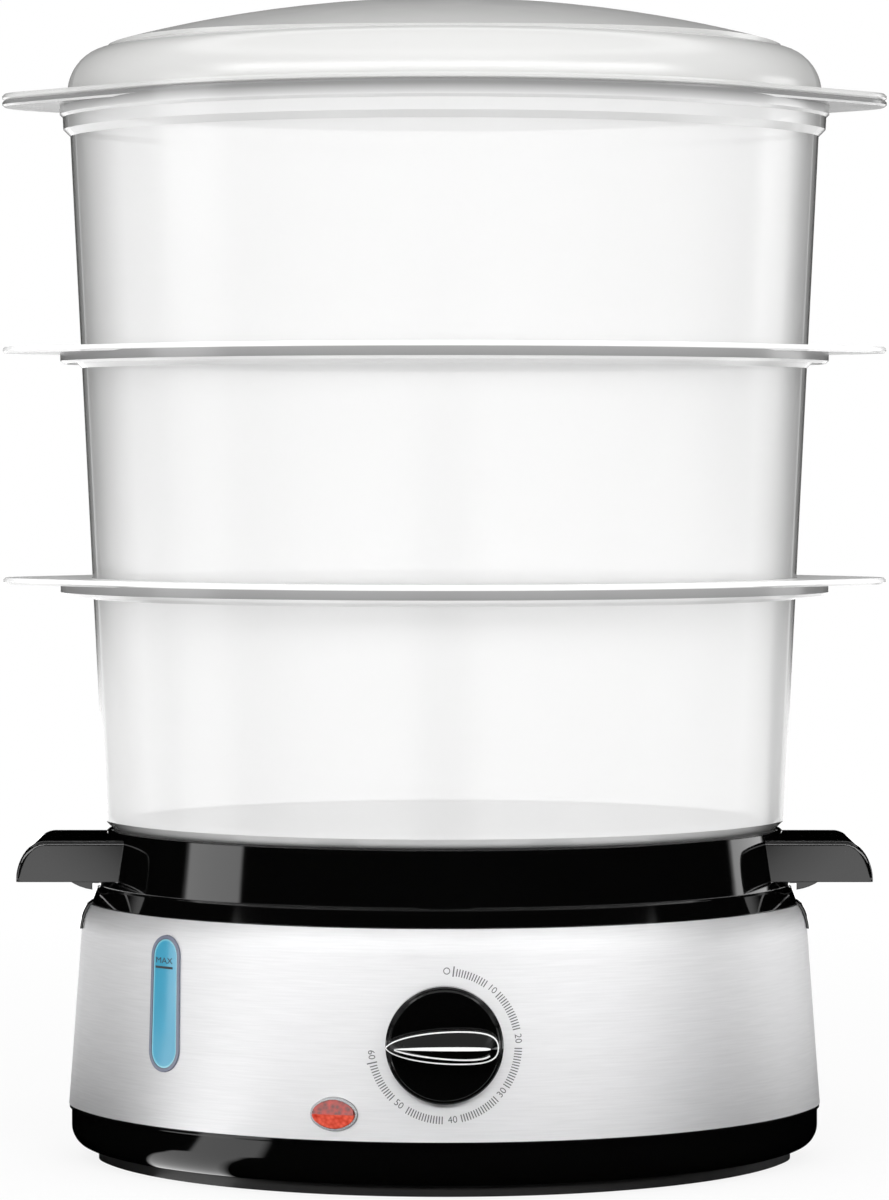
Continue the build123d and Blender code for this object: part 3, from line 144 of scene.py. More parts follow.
def add_node(tree, kind, inputs=(), **settings):
    """Add one node with its properties; an input gets a value, or a link from another node's output."""
    node = tree.nodes.new(kind)
    for key, value in settings.items():
        setattr(node, key, value)
    for key, value in dict(inputs).items():
        if isinstance(value, bpy.types.NodeSocket):
            tree.links.new(value, node.inputs[key])
        else:
            node.inputs[key].default_value = value
    return node


def set_stops(ramp, stops):
    """Give a colour ramp these stops of position and colour, in rising order."""
    elements = ramp.color_ramp.elements
    elements.remove(elements[1])
    elements[0].position, elements[0].color = stops[0]
    for spot, ink in stops[1:]:
        elements.new(spot).color = ink


def object_pattern(tree, scale):
    """Object coordinates multiplied by this scale per metre along each axis."""
    place = add_node(tree, "ShaderNodeTexCoord")
    scaled = add_node(tree, "ShaderNodeMapping", {"Vector": place.outputs["Object"], "Scale": scale})
    return scaled.outputs["Vector"]


def noise_pattern(tree, size_mm, detail=3.0, stretch=(1.0, 1.0, 1.0)):
    """Even noise whose spots measure about this many millimetres, times the stretch on each axis."""
    scale = [1 / (size_mm * MM * factor) for factor in stretch]
    noise = add_node(
        tree,
        "ShaderNodeTexNoise",
        {"Vector": object_pattern(tree, scale), "Scale": 1.0, "Detail": detail},
    )
    return noise.outputs["Fac"]


def shaded(ink, factor):
    """The same colour, this many times as bright."""
    return [channel * factor for channel in ink[:3]] + [1.0]


def finish_material(tree, tint, grain, roughness, depth_mm, values=(), normal=None, strength=0.35):
    """Close a surface: roughness and bump vary with the grain, and the values go on the shader."""
    bump_inputs = {"Height": grain, "Strength": strength, "Distance": depth_mm * MM}
    if normal is not None:
        bump_inputs["Normal"] = normal
    bump = add_node(tree, "ShaderNodeBump", bump_inputs)
    smooth, rough = roughness
    uneven = add_node(tree, "ShaderNodeMapRange", {"Value": grain, "To Min": smooth, "To Max": rough})
    skin_inputs = {
        "Base Color": tint,
        "Roughness": uneven.outputs["Result"],
        "Normal": bump.outputs["Normal"],
    }
    skin_inputs.update(values)
    skin = add_node(tree, "ShaderNodeBsdfPrincipled", skin_inputs)
    add_node(tree, "ShaderNodeOutputMaterial", {"Surface": skin.outputs["BSDF"]})


def moulded_plastic(name, ink, roughness, grain_mm, depth_mm, edge=0.0, values=()):
    """Moulded plastic with the fine ripple the tool leaves in its skin, and edges of this radius.

    The edges only turn the light, as the small radius of a moulding tool does.
    """
    material, tree = new_material(name)
    grain = noise_pattern(tree, grain_mm)
    normal = None
    if edge:
        normal = add_node(tree, "ShaderNodeBevel", {"Radius": edge}, samples=6).outputs["Normal"]
    tint = add_node(
        tree,
        "ShaderNodeMix",
        {"Factor": grain, "A": shaded(ink, 0.9), "B": shaded(ink, 1.1)},
        data_type="RGBA",
    ).outputs["Result"]
    finish_material(tree, tint, grain, (roughness * 0.8, roughness * 1.2), depth_mm, values, normal)
    return material


def bare_metal(name, ink, roughness, grain_mm, depth_mm, stretch=(1.0, 1.0, 1.0)):
    """Metal with the marks that its making leaves, drawn out along one axis by the stretch."""
    material, tree = new_material(name)
    grain = noise_pattern(tree, grain_mm, stretch=stretch)
    tint = add_node(
        tree, "ShaderNodeMix", {"Factor": grain, "A": shaded(ink, 0.82), "B": ink}, data_type="RGBA"
    ).outputs["Result"]
    finish_material(
        tree, tint, grain, (roughness * 0.75, roughness * 1.25), depth_mm, {"Metallic": 1.0}
    )
    return material


def brushed_stainless():
    """Stainless sheet brushed round the base: streaks one way, so the sheen spreads across them.

    Real brushing is too fine to show from where the camera stands, so its pitch is drawn coarser.
    """
    material, tree = new_material("brushed_stainless_sheet")
    steel = colours().steel
    drawn_out = sizes().streak_length / sizes().streak_pitch
    streaks = noise_pattern(tree, sizes().streak_pitch / MM, 2.0, (drawn_out, drawn_out, 1.0))
    waves = noise_pattern(tree, 9.0, 1.0, (3.0, 3.0, 0.6))
    uneven = add_node(
        tree, "ShaderNodeMath", {0: waves, 1: 0.35, 2: streaks}, operation="MULTIPLY_ADD"
    ).outputs[0]
    tint = add_node(
        tree, "ShaderNodeMix", {"Factor": uneven, "A": shaded(steel, 0.82), "B": steel}, data_type="RGBA"
    ).outputs["Result"]
    sheen = {"Metallic": 1.0, "Anisotropic": 0.4, "Anisotropic Rotation": 0.25}
    finish_material(tree, tint, uneven, (0.52, 0.66), 0.03, sheen)
    return material


def milky_clear(name, ink, cover, silhouette_shade_ink, rim=None):
    """Milky clear polypropylene: light comes through it, and painted shade greys it towards its silhouettes.

    The plastic counts once for each wall: a ray that leaves a wall from inside it passes freely.
    """
    material, tree = new_material(name)
    # Painted shade: the colour darkens and turns solid towards the silhouettes
    facing = add_node(tree, "ShaderNodeLayerWeight", {"Blend": 0.5}).outputs["Facing"]
    edge = add_node(
        tree, "ShaderNodeMapRange", {"Value": facing, "From Min": 0.47, "From Max": 0.86}
    ).outputs["Result"]
    tint = add_node(
        tree, "ShaderNodeMix", {"Factor": edge, "A": ink, "B": silhouette_shade_ink}, data_type="RGBA"
    ).outputs["Result"]
    solid = add_node(
        tree, "ShaderNodeMapRange", {"Value": edge, "To Min": cover, "To Max": 1.0}
    ).outputs["Result"]
    # Painted light on the rim: a highlight along its lip and shade down its skirt
    if rim is not None:
        skirt, skirt_light_and_shade = hanging_skirt(tree, *rim)
        tint = add_node(
            tree, "ShaderNodeMix", {"Factor": skirt, "A": tint, "B": skirt_light_and_shade}, data_type="RGBA"
        ).outputs["Result"]
        solid = add_node(tree, "ShaderNodeMath", {0: solid, 1: skirt}, operation="MAXIMUM").outputs[0]
    backs = add_node(tree, "ShaderNodeNewGeometry").outputs["Backfacing"]
    fronts = add_node(tree, "ShaderNodeMath", {0: 1.0, 1: backs}, operation="SUBTRACT").outputs[0]
    share = add_node(tree, "ShaderNodeMath", {0: solid, 1: fronts}, operation="MULTIPLY").outputs[0]
    haze = noise_pattern(tree, 14.0)
    finish_material(tree, tint, haze, (0.16, 0.24), 0.05, {"IOR": 1.49, "Alpha": share}, strength=0.1)
    return material


def hanging_skirt(tree, rim_top, stops):
    """Mask and colour of the painted light on a rim's outward skirt face; the stops are millimetres down and
    hex colours.

    The colour is painted light: white along the lip is a painted highlight, and grey down the outer face is
    painted shade.
    """
    deepest = stops[-1][0]
    place = add_node(tree, "ShaderNodeTexCoord")
    height = add_node(tree, "ShaderNodeSeparateXYZ", {"Vector": place.outputs["Object"]}).outputs["Z"]
    depth = add_node(
        tree,
        "ShaderNodeMapRange",
        {"Value": height, "From Min": rim_top, "From Max": rim_top - deepest * MM},
    ).outputs["Result"]
    ramp = add_node(tree, "ShaderNodeValToRGB", {"Fac": depth})
    set_stops(ramp, [(down / deepest, linear(ink)) for down, ink in stops])
    outward = add_node(
        tree,
        "ShaderNodeVectorMath",
        {0: place.outputs["Normal"], 1: place.outputs["Object"]},
        operation="DOT_PRODUCT",
    ).outputs["Value"]
    faces_out = add_node(tree, "ShaderNodeMath", {0: outward, 1: 0.0}, operation="GREATER_THAN")
    # The depth stays at 1 for all that lies lower, so the skirt ends just short of it
    above_end = add_node(tree, "ShaderNodeMath", {0: depth, 1: 0.995}, operation="LESS_THAN")
    skirt = add_node(
        tree,
        "ShaderNodeMath",
        {0: above_end.outputs[0], 1: faces_out.outputs[0]},
        operation="MULTIPLY",
    )
    return skirt.outputs[0], ramp.outputs["Color"]


def dress(material, *nodes):
    """Give these CAD nodes this material."""
    for name in nodes:
        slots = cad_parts[name].data.materials
        slots.clear()
        slots.append(material)


# ---------------------------------------------------------------- new pieces


def mesh_of(shape, name):
    """Mesh of a bmesh, which is then freed."""
    mesh = bpy.data.meshes.new(name)
    shape.to_mesh(mesh)
    shape.free()
    return mesh


def piece_from(mesh, name, body, material):
    """Object at the origin that rides on a body and takes its finish from a slot."""
    piece = bpy.data.objects.new(name, mesh)
    bpy.context.scene.collection.objects.link(piece)
    mesh.materials.clear()
    mesh.materials.append(material)
    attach(piece, body)
    return piece


def mesh_of_curve(curve):
    """Mesh of a curve or text, which is then removed."""
    holder = bpy.data.objects.new(curve.name, curve)
    bpy.context.scene.collection.objects.link(holder)
    mesh = bpy.data.meshes.new_from_object(holder)
    bpy.data.objects.remove(holder)
    bpy.data.curves.remove(curve)
    return mesh


def text_mesh(words, height):
    """Flat mesh of a word, centred on the origin, with capitals of this height."""
    curve = bpy.data.curves.new(words, "FONT")
    curve.body = words
    curve.size = height / CAPITAL_SHARE
    curve.align_x = "CENTER"
    curve.align_y = "CENTER"
    curve.resolution_u = 3
    return mesh_of_curve(curve)


def bezier_curve(name, knots, closed):
    """Curve through knots, each its incoming handle, its point and its outgoing handle in millimetres."""
    curve = bpy.data.curves.new(name, "CURVE")
    curve.dimensions = "3D"
    curve.resolution_u = 24
    line = curve.splines.new("BEZIER")
    line.use_cyclic_u = closed
    line.bezier_points.add(len(knots) - 1)
    for point, (before, middle, after) in zip(line.bezier_points, knots):
        point.handle_left = Vector(before) * MM
        point.co = Vector(middle) * MM
        point.handle_right = Vector(after) * MM
    return curve


def face_front(mesh, centre):
    """Stand a mesh drawn flat, X right and Y up, in front of the base at this centre, facing -Y."""
    mesh.transform(Matrix.Translation(centre) @ Matrix.Rotation(pi / 2, 4, "X"))


def laid_on(mesh, name, target, body, material):
    """Print: a flat mesh facing -Y, pushed back onto what carries it and kept as a thin film on it."""
    piece = piece_from(mesh, name, body, material)
    wrap = piece.modifiers.new("wrap", "SHRINKWRAP")
    wrap.target = target
    wrap.wrap_method = "PROJECT"
    wrap.use_project_x = False
    wrap.use_project_y = True
    wrap.use_project_z = False
    wrap.use_positive_direction = True
    wrap.use_negative_direction = False
    wrap.wrap_mode = "ABOVE_SURFACE"
    wrap.offset = sizes().print_thickness
    bpy.context.view_layer.update()
    graph = bpy.context.evaluated_depsgraph_get()
    film = bpy.data.meshes.new_from_object(piece.evaluated_get(graph))
    piece.modifiers.clear()
    piece.data = film
    return piece


# ---------------------------------------------------------------- operators


class STEAMER_OT_stage(bpy.types.Operator):
    """Floor, studio light and camera"""

    bl_idname = "steamer.stage"
    bl_label = "Stage"

    LENS_MM = 155.7
    CAMERA_PLACE = (0.0, -1.79, 0.2426)
    CAMERA_DIP = 1.6
    FLOOR_HALF_SIDE = 6.0
    FAR_AWAY = 4.0

    # Stops by bearing: degrees from the front, growing to the right, and share of the full radiance
    STRIP_STOPS = (
        (-180, 0.0), (-93, 0.0), (-92, 1.0), (-70, 1.0), (-69, 0.0),
        (108, 0.0), (109, 1.0), (128, 1.0), (129, 0.0), (180, 0.0),
    )
    BACKDROP_STOPS = (
        (-180, 1.0), (-110, 1.0), (-95, 0.5), (-60, 0.3), (-40, 0.9), (-9, 0.9), (-7, 0.0), (7, 0.0),
        (9, 0.9), (50, 1.0), (60, 1.0), (106, 1.0), (116, 0.3), (132, 0.1), (140, 0.8), (180, 0.8),
    )
    FOOT_STOPS = ((-180, 0.0), (-63, 0.0), (-62, 1.0), (-44, 1.0), (-43, 0.0), (180, 0.0))
    LOW_BOX_STOPS = ((-76, 0.0), (-68, 1.0), (68, 1.0), (76, 0.0))

    def execute(self, context):
        self.make_camera()
        self.make_floor()
        self.make_world()
        self.make_lamps()
        context.scene.view_settings.view_transform = "Standard"
        return {"FINISHED"}

    def make_camera(self):
        """Long lens a little above the middle of the object, tilted slightly down."""
        camera = bpy.data.objects.new("camera", bpy.data.cameras.new("camera"))
        camera.data.lens = self.LENS_MM
        camera.data.sensor_width = 36.0
        camera.location = self.CAMERA_PLACE
        camera.rotation_euler = (radians(90 - self.CAMERA_DIP), 0.0, 0.0)
        bpy.context.scene.collection.objects.link(camera)
        bpy.context.scene.camera = camera

    def make_floor(self):
        """Pale floor that goes out to white but keeps a soft shadow under the object."""
        sheet = bmesh.new()
        bmesh.ops.create_grid(sheet, x_segments=1, y_segments=1, size=self.FLOOR_HALF_SIDE)
        floor = bpy.data.objects.new("floor", mesh_of(sheet, "floor"))
        floor.data.materials.append(self.white_paper())
        bpy.context.scene.collection.objects.link(floor)

    def white_paper(self):
        """White studio paper: it takes the shadow, glows out to white and is what the gloss mirrors."""
        material, tree = new_material("white_paper_floor")
        place = add_node(tree, "ShaderNodeTexCoord").outputs["Object"]
        distance = add_node(
            tree, "ShaderNodeVectorMath", {0: place}, operation="LENGTH"
        ).outputs["Value"]
        glow = add_node(
            tree,
            "ShaderNodeMapRange",
            {"Value": distance, "From Min": 0.2, "From Max": 0.9, "To Min": 0.86, "To Max": 1.0},
        ).outputs["Result"]
        seen, glossy = self.background_rays(tree)
        seen_glow = add_node(tree, "ShaderNodeMath", {0: seen, 1: glow}, operation="MULTIPLY")
        share = add_node(
            tree, "ShaderNodeMath", {0: seen_glow.outputs[0], 1: glossy}, operation="MAXIMUM"
        ).outputs[0]
        strength = add_node(
            tree,
            "ShaderNodeMapRange",
            {"Value": glossy, "To Min": 1.0, "To Max": self.mirrored_floor(tree, place, distance)},
        ).outputs["Result"]
        paper = add_node(tree, "ShaderNodeBsdfDiffuse", {"Color": linear("#F0F0F0")})
        white = add_node(
            tree, "ShaderNodeEmission", {"Color": linear("#FFFFFF"), "Strength": strength}
        )
        mixed = add_node(
            tree,
            "ShaderNodeMixShader",
            {0: share, 1: paper.outputs["BSDF"], 2: white.outputs["Emission"]},
        )
        add_node(tree, "ShaderNodeOutputMaterial", {"Surface": mixed.outputs["Shader"]})
        return material

    def mirrored_floor(self, tree, place, distance):
        """Radiance of the floor in gloss: dark round the object but for one strip, bright farther out."""
        reach = add_node(
            tree, "ShaderNodeMapRange", {"Value": distance, "From Max": self.FAR_AWAY}
        ).outputs["Result"]
        away = self.levels(tree, reach, ((0.075, 0.0), (0.085, 1.0), (0.6, 1.0), (0.9, 0.0)))
        close_by = self.levels(tree, reach, ((0.07, 1.0), (0.075, 0.0)))
        strips = self.bearing_levels(tree, place, self.STRIP_STOPS, 3.0)
        backdrop = self.bearing_levels(tree, place, self.BACKDROP_STOPS, 2.7)
        foot_strip = self.bearing_levels(tree, place, self.FOOT_STOPS, 1.8)
        outer = add_node(tree, "ShaderNodeMath", {0: strips, 1: backdrop}, operation="MAXIMUM")
        far_part = add_node(
            tree, "ShaderNodeMath", {0: away, 1: outer.outputs[0]}, operation="MULTIPLY"
        )
        near_part = add_node(tree, "ShaderNodeMath", {0: close_by, 1: foot_strip}, operation="MULTIPLY")
        return add_node(
            tree,
            "ShaderNodeMath",
            {0: far_part.outputs[0], 1: near_part.outputs[0]},
            operation="MAXIMUM",
        ).outputs[0]

    def background_rays(self, tree):
        """1 for a ray from the camera or through glass, and 1 for a ray off gloss."""
        path = add_node(tree, "ShaderNodeLightPath")
        seen = add_node(
            tree,
            "ShaderNodeMath",
            {0: path.outputs["Is Camera Ray"], 1: path.outputs["Is Transmission Ray"]},
            operation="MAXIMUM",
        )
        return seen.outputs[0], path.outputs["Is Glossy Ray"]

    def levels(self, tree, factor, stops, radiance=1.0):
        """Radiance along a factor, straight between stops of position and share of the full radiance."""
        ramp = add_node(tree, "ShaderNodeValToRGB", {"Fac": factor})
        set_stops(ramp, [(spot, (share, share, share, 1.0)) for spot, share in stops])
        full = add_node(
            tree, "ShaderNodeMapRange", {"Value": ramp.outputs["Color"], "To Max": radiance}
        )
        return full.outputs["Result"]

    def bearing_levels(self, tree, direction, stops, radiance=1.0):
        """Radiance by bearing, between stops of degrees from the front and share of the full radiance."""
        axes = add_node(tree, "ShaderNodeSeparateXYZ", {"Vector": direction})
        toward = add_node(tree, "ShaderNodeMath", {0: axes.outputs["Y"], 1: -1.0}, operation="MULTIPLY")
        bearing = add_node(
            tree,
            "ShaderNodeMath",
            {0: axes.outputs["X"], 1: toward.outputs[0]},
            operation="ARCTAN2",
        )
        turn = add_node(
            tree,
            "ShaderNodeMapRange",
            {"Value": bearing.outputs[0], "From Min": -pi, "From Max": pi},
        ).outputs["Result"]
        spots = [((degrees + 180) / 360, share) for degrees, share in stops]
        return self.levels(tree, turn, spots, radiance)

    def make_world(self):
        """White studio behind the object, boxes of light in its gloss and an even light on it."""
        world = bpy.data.worlds.new("studio")
        bpy.context.scene.world = world
        world.use_nodes = True
        tree = world.node_tree
        tree.nodes.clear()
        direction = add_node(tree, "ShaderNodeTexCoord").outputs["Generated"]
        seen, glossy = self.background_rays(tree)
        shown = add_node(
            tree,
            "ShaderNodeMapRange",
            {"Value": glossy, "To Min": 1.0, "To Max": self.mirrored_boxes(tree, direction)},
        ).outputs["Result"]
        visible = add_node(tree, "ShaderNodeMath", {0: seen, 1: glossy}, operation="MAXIMUM").outputs[0]
        strength = add_node(
            tree, "ShaderNodeMapRange", {"Value": visible, "To Min": 0.7, "To Max": shown}
        ).outputs["Result"]
        sky = add_node(
            tree, "ShaderNodeBackground", {"Color": linear("#FFFFFF"), "Strength": strength}
        )
        add_node(tree, "ShaderNodeOutputWorld", {"Surface": sky.outputs["Background"]})

    def mirrored_boxes(self, tree, direction):
        """Radiance of the studio in gloss: strips low at the sides, a wide low box and a high one."""
        height = add_node(tree, "ShaderNodeSeparateXYZ", {"Vector": direction}).outputs["Z"]
        low_height = self.levels(
            tree, height, ((0.24, 0.0), (0.27, 1.0), (0.44, 1.0), (0.47, 0.0)), 7.0
        )
        high_box = self.levels(
            tree, height, ((0.68, 0.0), (0.72, 1.0), (0.8, 1.0), (0.84, 0.3), (1.0, 0.3)), 1.6
        )
        under_boxes = self.levels(tree, height, ((0.2, 1.0), (0.22, 0.0)))
        strips = self.bearing_levels(tree, direction, self.STRIP_STOPS, 3.0)
        in_front = self.bearing_levels(tree, direction, self.LOW_BOX_STOPS)
        low_box = add_node(tree, "ShaderNodeMath", {0: low_height, 1: in_front}, operation="MULTIPLY")
        low_strips = add_node(tree, "ShaderNodeMath", {0: under_boxes, 1: strips}, operation="MULTIPLY")
        low_part = add_node(
            tree,
            "ShaderNodeMath",
            {0: low_strips.outputs[0], 1: low_box.outputs[0]},
            operation="MAXIMUM",
        )
        return add_node(
            tree, "ShaderNodeMath", {0: low_part.outputs[0], 1: high_box}, operation="MAXIMUM"
        ).outputs[0]

    def make_lamps(self):
        """Softbox high in front, one overhead and a weak one on each side."""
        self.softbox("front_softbox", (0.0, -1.35, 1.35), (1.7, 0.8), 16.5)
        self.softbox("top_softbox", (0.0, 0.1, 1.8), (1.2, 1.0), 3.0)
        self.softbox("left_fill", (-1.5, -0.5, 0.4), (0.6, 0.8), 2.0)
        self.softbox("right_fill", (1.5, -0.5, 0.4), (0.6, 0.8), 2.0)

    def softbox(self, name, place, size, watts):
        """Rectangular lamp that faces the middle of the object; gloss mirrors the world's boxes instead."""
        lamp = bpy.data.lights.new(name, "AREA")
        lamp.shape = "RECTANGLE"
        lamp.size = size[0]
        lamp.size_y = size[1]
        lamp.energy = watts
        holder = bpy.data.objects.new(name, lamp)
        aim = Vector((0.0, 0.0, 0.2)) - Vector(place)
        holder.matrix_world = Matrix.Translation(place) @ aim.to_track_quat("-Z", "Y").to_matrix().to_4x4()
        holder.visible_camera = False
        holder.visible_transmission = False
        holder.visible_glossy = False
        bpy.context.scene.collection.objects.link(holder)


class STEAMER_OT_black_shell(bpy.types.Operator):
    """Black plastic of the base, ring, tray and underside"""

    bl_idname = "steamer.black_shell"
    bl_label = "Black shell"

    def execute(self, context):
        # ABS moulded in a polished tool: deep black that mirrors its surroundings sharply,
        # with a thin bright line along every rolled edge
        black = moulded_plastic(
            "polished_black_abs", colours().black, 0.05, 9.0, 0.004, sizes().edge_radius
        )
        dress(black, "base_housing", "top_ring", "drip_tray")
        # The underside comes from a spark-eroded tool: the same ABS, fine-grained and dull
        dull = moulded_plastic("grained_black_abs", linear("#0B0B0B"), 0.5, 0.6, 0.03)
        dress(dull, "bottom_plate")
        # Nitrile rubber feet and inlet bush: dull and slightly grey
        rubber = moulded_plastic("black_nitrile_rubber", linear("#171717"), 0.72, 0.5, 0.03)
        dress(rubber, "rubber_feet", "cable_inlet")
        return {"FINISHED"}


class STEAMER_OT_steel_band(bpy.types.Operator):
    """Brushed steel band round the base"""

    bl_idname = "steamer.steel_band"
    bl_label = "Steel band"

    def execute(self, context):
        dress(brushed_stainless(), "steel_band")
        return {"FINISHED"}


class STEAMER_OT_baskets(bpy.types.Operator):
    """Clear baskets, their floors and the lid"""

    bl_idname = "steamer.baskets"
    bl_label = "Baskets and lid"

    def execute(self, context):
        # A free rim: a painted highlight along its lip over painted shade on its skirt
        open_rim_highlight_and_shade = (
            (0.0, "#FFFFFF"),
            (1.5, "#FFFFFF"),
            (1.9, "#9A9A9A"),
            (5.4, "#8A8A8A"),
            (5.6, "#8A8A8A"),
        )
        # The rim under the lid has no painted highlight on its lip: painted shadow greys its skirt from the
        # joint down
        lid_joint_shadow = ((0.0, "#828282"), (1.6, "#8E8E8E"), (4.2, "#C4C4C4"), (5.8, "#E6E6E6"))
        for number, skirt in ((1, open_rim_highlight_and_shade), (2, open_rim_highlight_and_shade), (3, lid_joint_shadow)):
            name = f"basket_{number}"
            rim = (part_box(name)[1].z, skirt)
            plastic = milky_clear(
                f"milky_polypropylene_{name}", colours().clear, 0.66, colours().clear_edge, rim
            )
            dress(plastic, name)
        # The floors are greyer and more solid than the walls
        floor_plastic = milky_clear(
            "milky_polypropylene_floor", linear("#D6D6D6"), 0.8, colours().clear_edge
        )
        dress(floor_plastic, "floor_1", "floor_2", "floor_3")
        # The lid is milkier than the baskets, and its painted shade towards the silhouettes is weak
        lid_silhouette_shade = shaded(colours().lid, 0.86)
        dress(milky_clear("milky_polypropylene_lid", colours().lid, 0.92, lid_silhouette_shade), "lid")
        return {"FINISHED"}


class STEAMER_OT_knob(bpy.types.Operator):
    """Timer knob: stepped disc, leaf-shaped grip, its printed pointer and its lines of painted edge
    highlight
    """

    bl_idname = "steamer.knob"
    bl_label = "Timer knob"

    # Millimetres: depths from the disc's back, and the grip's outline from the knob's axis
    DISC_DEPTH = 5.0
    STEP_RISE = 0.7
    GRIP_SINK = 0.2
    GRIP_EDGE = 10.3
    GRIP_CREST = 13.3
    GRIP_TIP = -19.1
    GRIP_NOSE = 17.4
    GRIP_HALF_WIDTH = 5.3
    OUTLINE_INSET = 0.1
    POINTER_RISE = 0.15
    # Shares of the grip's length and width
    CREST_LENGTH = 0.86
    CREST_WIDTH = 0.15
    POINTER_WIDTH = CREST_WIDTH * 0.8

    def execute(self, context):
        low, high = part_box("timer_knob")
        self.radius = (high.x - low.x) / 2
        self.centre = Vector(((low.x + high.x) / 2, high.y, (low.z + high.z) / 2))
        # ABS from a polished tool, like the shell: deep black with a sharp gleam
        black = moulded_plastic("polished_black_abs_knob", colours().black, 0.07, 7.0, 0.004, 0.2 * MM)
        knob = piece_from(self.knob_body(), "timer_knob_moulding", "timer_knob", black)
        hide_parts("timer_knob")
        # White ink, matt and very slightly uneven: pad print on the pointer bar, and painted edge highlights
        # in the outline and the inner line
        ink = moulded_plastic("white_print_and_edge_highlight", colours().line_white, 0.45, 0.8, 0.004)
        outline = self.grip_knots(self.GRIP_EDGE, self.OUTLINE_INSET)
        self.add_line("knob_outline_highlight", outline, True, ink)
        self.add_line("knob_inner_highlight", self.inner_knots(), False, ink)
        piece_from(self.pointer_bar(), "knob_pointer_line", "timer_knob", ink)
        return {"FINISHED"}

    def stand(self, shape):
        """Turn a shape drawn flat, with its depth along Z, to face the front at the knob's place."""
        turn = Matrix.Translation(self.centre) @ Matrix.Rotation(pi / 2, 4, "X")
        bmesh.ops.transform(shape, matrix=turn, verts=shape.verts)

    def grip_knots(self, depth, inset=0.0):
        """The grip's outline: pointed at the left, widest past the middle, round at the right."""
        tip = self.GRIP_TIP + 2 * inset
        nose = self.GRIP_NOSE - inset
        half = self.GRIP_HALF_WIDTH - inset
        return (
            ((tip + 1.8, -3.0, depth), (tip, 0, depth), (tip + 1.8, 3.0, depth)),
            ((-6.0, half, depth), (5.0, half, depth), (14.2, half, depth)),
            ((nose, 3.9, depth), (nose, 0, depth), (nose, -3.9, depth)),
            ((14.2, -half, depth), (5.0, -half, depth), (-6.0, -half, depth)),
        )

    def inner_knots(self):
        """The short painted highlight line that runs along the lower slope of the grip."""
        return (
            ((-18.0, 0.2, 13.2), (-16.2, -0.3, 13.0), (-12.0, -2.2, 12.0)),
            ((-1.0, -3.7, 11.4), (6.5, -3.75, 11.45), (11.0, -3.75, 11.5)),
            ((13.6, -3.3, 11.7), (14.6, -2.3, 12.1), (14.9, -2.0, 12.2)),
        )

    def leaf_shape(self, length_factor, width_factor):
        """Flat face in the grip's outline, scaled along and across."""
        curve = bezier_curve("leaf", self.grip_knots(0.0), True)
        curve.dimensions = "2D"
        curve.fill_mode = "BOTH"
        leaf = bmesh.new()
        outline = mesh_of_curve(curve)
        leaf.from_mesh(outline)
        bpy.data.meshes.remove(outline)
        bmesh.ops.remove_doubles(leaf, verts=leaf.verts, dist=1e-6)
        bmesh.ops.dissolve_faces(leaf, faces=leaf.faces[:])
        bmesh.ops.scale(leaf, vec=(length_factor, width_factor, 1.0), verts=leaf.verts)
        for face in leaf.faces:
            if face.normal.z < 0:
                face.normal_flip()
        return leaf

    def pointer_bar(self):
        """Mesh of the white bar along the crest of the grip."""
        pointer = self.leaf_shape(self.CREST_LENGTH, self.POINTER_WIDTH)
        self.raised(pointer, pointer.faces[:], self.POINTER_RISE * MM)
        bmesh.ops.translate(pointer, vec=(0, 0, self.GRIP_CREST * MM), verts=pointer.verts)
        bmesh.ops.recalc_face_normals(pointer, faces=pointer.faces)
        self.stand(pointer)
        return mesh_of(pointer, "knob_pointer_line")

    def knob_body(self):
        """Mesh of the disc with two fine steps at its rim, and of the grip with its ridged roof."""
        disc = bmesh.new()
        bmesh.ops.create_circle(disc, cap_ends=True, segments=128, radius=self.radius)
        top = self.raised(disc, disc.faces[:], (self.DISC_DEPTH - 2 * self.STEP_RISE) * MM)
        step = sizes().knob_rim / 3
        for rise in (self.STEP_RISE, 0.0, self.STEP_RISE):
            bmesh.ops.inset_region(disc, faces=top, thickness=step, depth=0.0, use_even_offset=True)
            verts = {v for face in top for v in face.verts}
            bmesh.ops.translate(disc, vec=(0, 0, rise * MM), verts=list(verts))
        grip_mesh = mesh_of(self.grip_body(), "grip")
        disc.from_mesh(grip_mesh)
        bpy.data.meshes.remove(grip_mesh)
        bmesh.ops.recalc_face_normals(disc, faces=disc.faces)
        self.stand(disc)
        return mesh_of(disc, "timer_knob_moulding")

    def grip_body(self):
        """Upright flanks in the grip's outline, under a roof that narrows to the crest."""
        grip = self.leaf_shape(1.0, 1.0)
        foot = self.DISC_DEPTH - self.GRIP_SINK
        bmesh.ops.translate(grip, vec=(0, 0, foot * MM), verts=grip.verts)
        flank = self.raised(grip, grip.faces[:], (self.GRIP_EDGE - foot) * MM)
        roof = self.raised(grip, flank, (self.GRIP_CREST - self.GRIP_EDGE) * MM)
        roof_verts = list({v for face in roof for v in face.verts})
        bmesh.ops.scale(grip, vec=(self.CREST_LENGTH, self.CREST_WIDTH, 1.0), verts=roof_verts)
        return grip

    def raised(self, shape, faces, rise):
        """Extrude these faces straight out by this much and give the new top faces."""
        made = bmesh.ops.extrude_face_region(shape, geom=faces)["geom"]
        verts = [v for v in made if isinstance(v, bmesh.types.BMVert)]
        bmesh.ops.translate(shape, vec=(0, 0, rise), verts=verts)
        return [face for face in made if isinstance(face, bmesh.types.BMFace)]

    def add_line(self, name, knots, closed, ink):
        """Raised white line of painted edge highlight that follows these knots over the grip."""
        curve = bezier_curve(name, knots, closed)
        curve.bevel_depth = sizes().line_width / 2
        curve.bevel_resolution = 2
        curve.use_fill_caps = True
        line = mesh_of_curve(curve)
        face_front(line, self.centre)
        piece_from(line, name, "timer_knob", ink)


